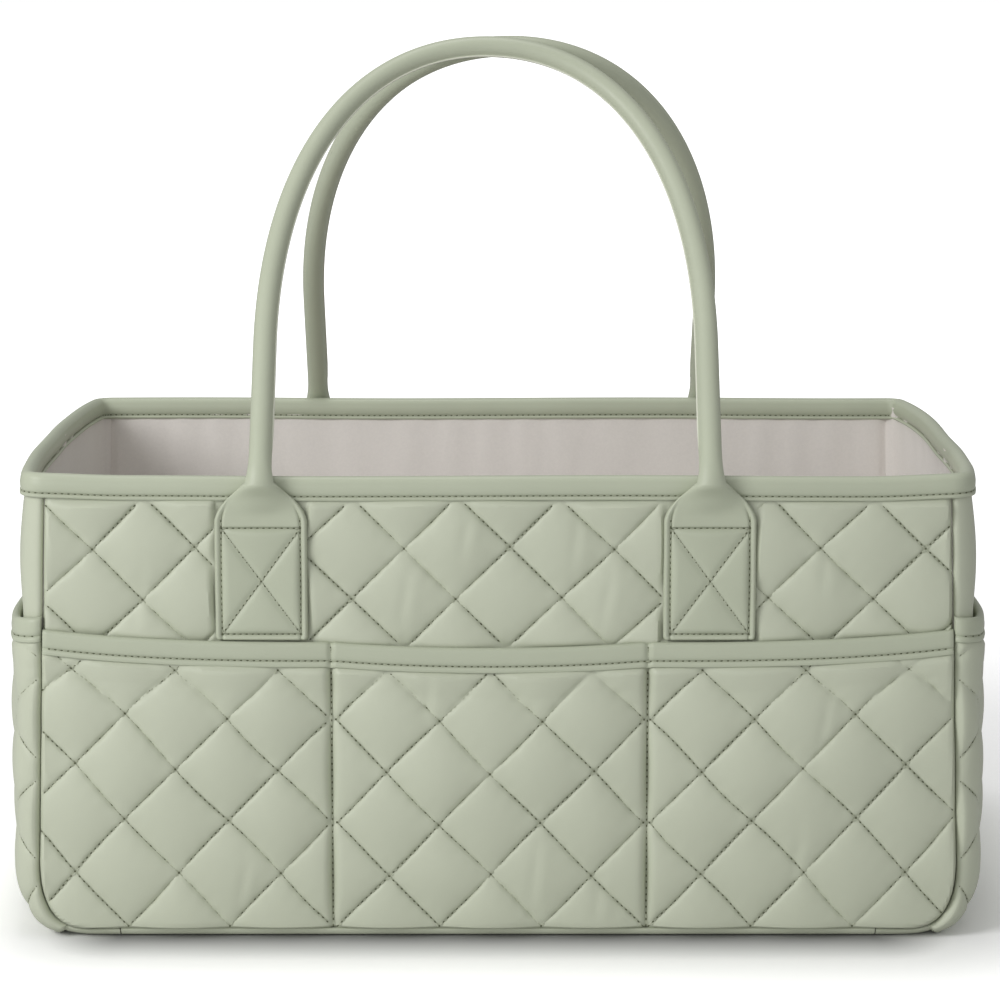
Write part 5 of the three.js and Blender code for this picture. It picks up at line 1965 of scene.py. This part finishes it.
    def pieces(self) -> list[Piece]:
        """Return the handle's pieces."""
        return [self.leather(), self.tab_stitching(), self.welt(), self.core()]


@dataclass
class Inside:
    """The lining of the walls and the base, and the skin under the base."""

    shell: Shell
    spare: float = 0.0006
    seam_dip: float = 0.001
    wall_ripple: Ripple = Ripple(0.0003, (38, 21, 0), (0, 33, 0.4))
    end_ripple: Ripple = Ripple(0.0004, (41, 13, 0), (0, 37, 0))
    base_ripple: Ripple = Ripple(0.0003, (0, 60, 1), (48, 0, 0))

    def __post_init__(self) -> None:
        """Set out the lining from the shell."""
        self.layer = self.shell.lining_layer()

    def gathered(self, relief: Array, seam: Array) -> Array:
        """Return how far in a lining lies that is held at its seams, from its relief away from them."""
        return relief * ease(0, 0.004, seam) - self.seam_dip * bump(seam, 0.0016)

    def wall_lining(self) -> Piece:
        """Model the lining of the front wall, a little gathered under the rim."""
        shell = self.shell
        low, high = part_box("front_lining")
        columns = np.linspace(low.x - self.spare, high.x + self.spare, 190)
        sheet = flat_grid("front_wall_lining", columns, np.linspace(low.z, high.z, 60))
        turns = np.linspace(math.pi / 2, 0, 7)
        heights = shell.base_corner - (shell.base_corner - low.z) * np.sin(turns)
        lengths = high.x + self.spare - self.layer.seam.corner_length * (1 - np.cos(turns))
        right = [*zip(lengths, heights), (shell.seam_x - shell.clearance + self.spare, high.z)]
        trim(sheet, np.array(right + [(-x, z) for x, z in reversed(right)]))

        def surface(x: Array, z: Array) -> Array:
            """Return the lining's inner face, which gathers a little under the rim."""
            gather = 0.00022 * (1 + np.sin(x * 310 + 2 * np.sin(x * 47))) * ease(0.12, 0.18, z)
            down = np.clip((high.z - z) / (high.z - shell.base_corner), 0, 1)
            seam = lerp(shell.seam_x, high.x, down) - np.abs(x)
            inward = self.gathered(gather + self.wall_ripple.raised(x, z), seam)
            return np.column_stack([x, inward - (self.layer.out - shell.lining), z])

        make_up(sheet, surface, shell.lining, Crease.SHEET, Finish.LINING, faces_in=True)
        return Piece(sheet, Finish.LINING, replaces=("front_lining",), form=Form.SHEET,
                     flat=(high.x - low.x, high.z - low.z), rests_on=("front_board",))

    def end_lining(self) -> Piece:
        """Model the lining of the left end, round its edges and its base corner."""
        shell, layer = self.shell, self.layer
        length = shell.across_length(layer)
        corner = layer.crown.corner_height * math.pi / 2
        under = layer.crown.low_x - layer.crown.corner_length - shell.base_seam
        total = under + corner + shell.wall_top - shell.base_corner
        vs = np.concatenate([np.linspace(0, under, 5)[:-1], np.linspace(under, total, 50)])
        sheet = flat_grid("left_end_lining", np.linspace(-length / 2, length / 2, 90), vs)

        def surface(u: Array, v: Array) -> Array:
            """Return the lining's inner face at a place across and up it."""
            run = np.clip(1 - v / under, 0, 1)
            turn = np.clip((under + corner - v) / layer.crown.corner_height, 0, math.pi / 2)
            z = shell.base_corner + np.maximum(v - under - corner, 0)
            gather = 0.0003 * (1 + np.sin(u * 290 + 1.5)) * ease(total - 0.05, total, v)
            relief = gather + self.end_ripple.raised(u, v) * (run < 1)
            inward = self.gathered(relief, length / 2 - np.abs(u))
            return shell.end_point(layer, 0.5 - u / length, z, turn, run, -shell.lining - inward)

        make_up(sheet, surface, shell.lining, Crease.SHEET, Finish.LINING, faces_in=True)
        return Piece(sheet, Finish.LINING, replaces=("left_lining",), form=Form.SHEET, flat=(length, total),
                     rests_on=("left_board",))

    def flat_strip(self, name: str, layer: Layer, node: str, finish: Finish, thickness: float,
                   inside: bool) -> Piece:
        """Model a base piece between the two base seams.

        Args:
            name: name of the new object.
            layer: the wall layer that it belongs to.
            node: the CAD node that it stands for.
            finish: its finish.
            thickness: its thickness.
            inside: whether its good face is the upper one.
        """
        shell = self.shell
        low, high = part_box(node)
        length = shell.across_length(layer)
        half = length / 2
        flat = half - math.pi / 2 * layer.edge
        us = np.concatenate([np.linspace(-half, -flat, 9)[:-1], np.linspace(-flat, flat, 40),
                             np.linspace(flat, half, 9)[1:]])
        sheet = flat_grid(name, us, np.linspace(low.x, high.x, 70))

        def surface(u: Array, x: Array) -> Array:
            """Return the base's face at a place across it and along it."""
            one = np.ones_like(u)
            offset = -thickness * inside * one
            points = shell.end_point(layer, 0.5 - u / length, shell.base_corner * one, math.pi / 2 * one, one,
                                     offset)
            points[:, 0] = -x
            if inside:
                points[:, 2] += self.base_ripple.raised(u, x)
            return points

        make_up(sheet, surface, thickness, Crease.SHEET, finish, faces_in=inside)
        return Piece(sheet, finish, replaces=(node,), form=Form.SHEET, flat=(length, high.x - low.x),
                     rests_on=("base_board",))

    def base_pieces(self) -> list[Piece]:
        """Return the base's skin and lining."""
        shell = self.shell
        return [
            self.flat_strip("base_skin", shell.skin_layer(), "base_panel", Finish.SKIN, shell.skin, False),
            self.flat_strip("base_cloth", self.layer, "base_lining", Finish.LINING, shell.lining, True),
        ]

    def wall_pieces(self) -> list[Piece]:
        """Return the lining of one half of the walls."""
        return [self.wall_lining(), self.end_lining()]


@dataclass
class LeftDivider:
    """The left padded divider, with its bound edge, its hook flaps and their loop tapes."""

    shell: Shell
    stitching: Stitching
    edge_thickness: float = 0.004
    binding_drop: float = 0.0094
    stitch_drop: float = 0.0070
    stitch_lift: float = 0.0001
    corner: float = 0.012
    channels: int = 5
    crown: float = 0.0016
    border: float = 0.006
    stitch_pull: float = 0.00012
    pull_pitch: float = 0.0036
    binding_step: float = 0.006
    stitch_step: float = 0.0034
    tape_corner: float = 0.004
    tape_edge: float = 0.0003
    quarters: Sequence[tuple[int, int]] = ((1, 1), (-1, 1), (-1, -1), (1, -1))

    def __post_init__(self) -> None:
        """Read the divider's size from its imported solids."""
        self.low, self.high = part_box("left_divider_binding")
        self.place = (self.low.x + self.high.x) / 2
        self.fold = Fold(self.high.x - self.low.x, self.binding_drop, self.shell.tape, self.stitch_drop,
                         pillow=0.00015, groove=0.0003, lip=0.0001)

    def rounded(self, low: Vector, high: Vector, radius: float,
                steps: int) -> list[tuple[Array, Array]]:
        """Return an upright rectangle with rounded corners.

        Args:
            low: its lower corner.
            high: its upper corner.
            radius: the radius of its corners.
            steps: the number of points round each corner.

        Returns:
            For each corner its points, as Y and Z, and the directions out of them.
        """
        half = np.array([high.y, (high.z - low.z) / 2]) - radius
        middle = np.array([0, (high.z + low.z) / 2])
        corners = []
        for number, quarter in enumerate(self.quarters):
            angles = np.linspace(0, math.pi / 2, steps) + number * math.pi / 2
            outs = np.column_stack([np.cos(angles), np.sin(angles)])
            corners.append((middle + quarter * half + radius * outs, outs))
        return corners

    def pad_outline(self, low: Vector, high: Vector) -> Array:
        """Return the pad's outline in Y and Z, with corners that stay inside the binding's."""
        radius = self.corner - (self.high.y - high.y)
        return np.concatenate([points for points, _ in self.rounded(low, high, radius, 7)])

    def cloth(self) -> Piece:
        """Model the padded cloth, quilted in upright channels."""
        low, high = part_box("left_divider_panel")
        half = (high.y - low.y) / 2
        ys = np.linspace(-half, half, 121)
        zs = np.linspace(low.z, high.z, 75)
        reach = half - self.corner

        def proud(y: Array, z: Array) -> Array:
            """Return how far the padding stands out of the flat of the board."""
            share = (y + reach) / (2 * reach) * self.channels
            channel = np.abs(np.sin(math.pi * np.clip(share, 0, self.channels))) ** 0.55
            seam = bump(share - np.rint(share), 0.05)
            pull = self.stitch_pull * seam * np.cos(z * math.tau / self.pull_pitch)
            inside = np.minimum(np.minimum(half - np.abs(y), z - low.z), high.z - z) - self.border
            return (self.crown * channel - pull) * ease(0, 0.012, inside)

        sheets = []
        for side in (-1, 1):
            sheet = flat_grid(f"left_divider_face_{side}", ys, zs)
            trim(sheet, self.pad_outline(low, high))

            def surface(y: Array, z: Array, side: int = side) -> Array:
                """Return one face of the pad."""
                out = self.edge_thickness / 2 + proud(y, z)
                return np.column_stack([self.place + side * out, y * side, z])

            lay_on(sheet, surface)
            sheets.append(sheet)
        only(sheets[0])
        sheets[1].select_set(True)
        bpy.ops.object.join()
        pad = sheets[0]
        pad.name = pad.data.name = "left_divider_pad"
        with editing(pad, whole=False):
            bpy.ops.mesh.select_all(action="DESELECT")
            bpy.ops.mesh.select_mode(type="EDGE")
            bpy.ops.mesh.select_non_manifold(extend=False, use_boundary=True)
            bpy.ops.mesh.bridge_edge_loops()
        outwards(pad)
        complete(pad, Crease.SHEET, Finish.LINING)
        return Piece(pad, Finish.LINING, Body.LEFT_DIVIDER, ("left_divider_panel",), Form.PAD)

    def edge_point(self, y: Array, z: Array, outs: Array, across: float, up: float) -> Array:
        """Return points of the binding, from places on its outer line and its section."""
        inward = self.fold.drop - up
        x = np.full(len(y), self.low.x + across)
        return np.column_stack([x, y - outs[:, 0] * inward, z - outs[:, 1] * inward])

    def outer_line(self, step: float) -> tuple[Array, Array, Array]:
        """Return the places on the binding's outer line and the directions out of it."""
        corners = self.rounded(self.low, self.high, self.corner, 9)
        places, outs = [], []
        for (points, directions), (following, _) in zip(corners, corners[1:] + corners[:1]):
            begin, end = points[-1], following[0]
            count = max(2, int(np.abs(end - begin).max() / step))
            shares = (np.arange(1, count) / count)[:, None]
            places += [points, lerp(begin, end, shares)]
            outs += [directions, np.tile(directions[-1], (count - 1, 1))]
        ys, zs = np.concatenate(places).T
        return ys, zs, np.concatenate(outs)

    def binding(self) -> Piece:
        """Model the binding round the divider."""
        ys, zs, outs = self.outer_line(self.binding_step)
        rings = np.stack([self.edge_point(ys, zs, outs, a, b) for a, b in self.fold.section(10)], axis=1)
        band = complete(closed_sweep("left_divider_tape", rings), Crease.QUILT, Finish.TAPE)
        return Piece(band, Finish.TAPE, Body.LEFT_DIVIDER, ("left_divider_binding",))

    def binding_stitching(self) -> Piece:
        """Sew the line along both sides of the binding."""
        ys, zs, outs = self.outer_line(self.stitch_step)
        up = self.fold.drop - self.fold.stitch_drop
        rows = []
        for across, side in ((self.stitch_lift, -1.0), (self.fold.width - self.stitch_lift, 1.0)):
            points = self.edge_point(ys, zs, outs, across, up)
            rows.append((points, np.tile((side, 0.0, 0.0), (len(points), 1))))
        return Piece(self.stitching.sew("left_divider_stitching", rows), Finish.TAPE, Body.LEFT_DIVIDER)

    def tape(self, name: str, node: str, body: Body) -> Piece:
        """Model a flap or a loop tape as a plate with rounded corners and soft edges."""
        low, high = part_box(node)
        size, middle = high - low, (low + high) / 2
        bpy.ops.object.select_all(action="DESELECT")
        bpy.ops.mesh.primitive_cube_add(size=1, location=middle, scale=size)
        plate = bpy.context.object
        plate.name = plate.data.name = name
        bpy.ops.object.transform_apply(location=True, rotation=True, scale=True)
        bpy.context.tool_settings.mesh_select_mode = (False, True, False)
        edges = plate.data.edges
        points = coordinates(plate)
        ends = np.array([edge.vertices[:] for edge in edges])
        upright = np.abs(points[ends[:, 0], 1] - points[ends[:, 1], 1]) > size.y / 2
        plate.data.vertices.foreach_set("select", np.zeros(len(points), bool))
        plate.data.polygons.foreach_set("select", np.zeros(len(plate.data.polygons), bool))
        edges.foreach_set("select", upright)
        with editing(plate, whole=False):
            bpy.ops.mesh.bevel(offset=self.tape_corner, segments=5, affect="EDGES")
        apply_modifier(plate, "BEVEL", width=self.tape_edge, segments=2, limit_method="ANGLE",
                       angle_limit=math.radians(Crease.SHEET.value))
        complete(plate, Crease.PLATE, Finish.FASTENER)
        return Piece(plate, Finish.FASTENER, body, (node,))

    def pieces(self) -> list[Piece]:
        """Return the divider's pieces."""
        tapes = []
        for face in ("front", "back"):
            tapes.append(self.tape(f"left_hook_{face}_flap", f"left_divider_{face}_flap", Body.LEFT_DIVIDER))
            tapes.append(self.tape(f"left_loop_{face}_strip", f"left_{face}_loop_tape", Body.CADDY))
        return [self.cloth(), self.binding(), self.binding_stitching(), *tapes]


@dataclass(frozen=True)
class Lamp:
    """A square soft light that faces the middle of the caddy."""

    name: str
    place: tuple[float, float, float]
    size: float
    power: float

    def hang(self, target: Vector) -> None:
        """Hang the light and turn it to a target."""
        place = Vector(self.place)
        bpy.ops.object.light_add(type="AREA", location=place)
        lamp = bpy.context.object
        lamp.name = self.name
        lamp.data.size = self.size
        lamp.data.energy = self.power
        lamp.rotation_euler = (target - place).to_track_quat("-Z", "Y").to_euler()


@dataclass(frozen=True)
class Studio:
    """The floor, the soft lights and the camera.

    Each floor step is a distance from the caddy's foot, a further one and the rise in white between
    them, over the white at the foot. Together they paint a soft shadow on the floor round the caddy's foot.
    """

    camera_place: tuple[float, float, float] = (0.0008, -1.365, 0.382)
    camera_pitch: float = 9.34
    lens: float = 117.5
    sensor: float = 36
    lamp_target: tuple[float, float, float] = (0, 0, 0.15)
    lamps: Sequence[Lamp] = (
        Lamp("key_light", (-1.15, -1.0, 0.85), 0.7, 14.0),
        Lamp("fill_light", (-0.5, -2.2, 0.6), 1.4, 6.0),
        Lamp("side_light", (1.5, -0.7, 0.7), 0.8, 1.3),
        Lamp("top_light", (-0.10, 0.12, 1.6), 0.5, 5.0),
    )
    ambient: float = 0.36
    floor_size: float = 60
    floor_gray: float = 0.72
    # The camera's white at the foot and the steps that raise it with distance from the footprint paint a
    # shadow on the floor.
    painted_shadow_white: float = 0.30
    painted_shadow_steps: Sequence[tuple[float, float, float]] = ((0.0, 0.03, 0.82), (0.03, 0.065, 0.24),
                                                         (0.065, 2.3, 2.7))
    footprint: tuple[float, float, float] = (0.150, 0.1135, 0.0)

    def from_foot(self, tree: Tree) -> Socket:
        """Return a floor point's distance from the caddy's foot."""
        source = tree.add("ShaderNodeTexCoord").outputs["Object"]
        origin = (0.0, 0.0, 0.0)
        steps = (("ABSOLUTE", origin), ("SUBTRACT", self.footprint), ("MAXIMUM", origin), ("LENGTH", origin))
        for operation, value in steps:
            step = tree.add("ShaderNodeVectorMath", operation=operation)
            step.inputs[1].default_value = value
            tree.join(source, step.inputs[0])
            source = step.outputs["Value" if operation == "LENGTH" else "Vector"]
        return source

    def white(self, tree: Tree) -> Socket:
        """Return how white the floor is to the camera, darker close to the caddy's foot as a painted shadow.
        """
        distance, white = self.from_foot(tree), None
        for near, far, rise in self.painted_shadow_steps:
            ramp = tree.add("ShaderNodeMapRange", from_min=near, from_max=far, to_max=rise)
            tree.join(distance, ramp.inputs["Value"])
            total = tree.add("ShaderNodeMath", operation="ADD")
            total.inputs[1].default_value = self.painted_shadow_white
            if white is not None:
                tree.join(white, total.inputs[1])
            tree.join(ramp.outputs["Result"], total.inputs[0])
            white = total.outputs["Value"]
        return white

    def floor(self) -> None:
        """Lay a pale floor that shows white to the camera, with a painted shadow round the caddy's foot."""
        bpy.ops.object.select_all(action="DESELECT")
        bpy.ops.mesh.primitive_plane_add(size=self.floor_size)
        floor = bpy.context.object
        floor.name = "studio_floor"
        material = bpy.data.materials.new("studio_floor")
        tree = Tree(material)
        tree.tree.nodes.remove(tree.tree.nodes["Principled BSDF"])
        gray = tree.for_camera(self.floor_gray)
        diffuse = tree.add("ShaderNodeBsdfDiffuse")
        tree.join(self.white(tree), gray.inputs["To Max"])
        tree.join(gray.outputs["Result"], diffuse.inputs["Color"])
        tree.join(diffuse.outputs["BSDF"], tree.tree.nodes["Material Output"].inputs["Surface"])
        floor.data.materials.append(material)

    def world(self) -> None:
        """Light the scene evenly, with a white background for the camera."""
        world = bpy.data.worlds.new("studio_world")
        bpy.context.scene.world = world
        tree = Tree(world)
        background = tree.tree.nodes["Background"]
        background.inputs["Color"].default_value = (1, 1, 1, 1)
        tree.join(tree.for_camera(self.ambient).outputs["Result"], background.inputs["Strength"])

    def camera(self) -> None:
        """Stand the camera at the photograph's place."""
        tilt = math.radians(90 - self.camera_pitch)
        bpy.ops.object.camera_add(location=self.camera_place, rotation=(tilt, 0, 0))
        camera = bpy.context.object
        camera.data.lens = self.lens
        camera.data.sensor_width = self.sensor
        bpy.context.scene.camera = camera

    def build(self) -> None:
        """Set up the whole studio."""
        bpy.context.scene.view_settings.view_transform = "Standard"
        self.camera()
        self.floor()
        self.world()
        for lamp in self.lamps:
            lamp.hang(Vector(self.lamp_target))


@dataclass(frozen=True)
class HiddenCore:
    """The CAD boards, which stay as they are inside the walls and the base."""

    boards: Sequence[str] = ("front_board", "back_board", "left_board", "right_board", "base_board")

    def dress(self) -> None:
        """Give the boards their material."""
        for node in self.boards:
            paint(bpy.data.objects[node], Finish.BOARD)


def main() -> None:
    """Build the caddy and its studio."""
    logging.basicConfig(level=logging.INFO, format="%(name)s: %(message)s")
    Studio().build()
    HiddenCore().dress()
    shell = Shell.from_frame()
    stitching = Stitching()
    inside = Inside(shell)
    half: list[Piece] = []
    half += FrontFace(shell, stitching).pieces()
    half += LeftEnd(shell, stitching).pieces()
    half += FrontHandle(shell, stitching).pieces()
    half += inside.wall_pieces()
    half += LeftDivider(shell, stitching).pieces()
    whole = Rim(shell, stitching).pieces() + inside.base_pieces()
    for piece in [*half, *(half_turned(piece) for piece in half), *whole]:
        piece.attach()


if __name__ == "__main__":
    main()
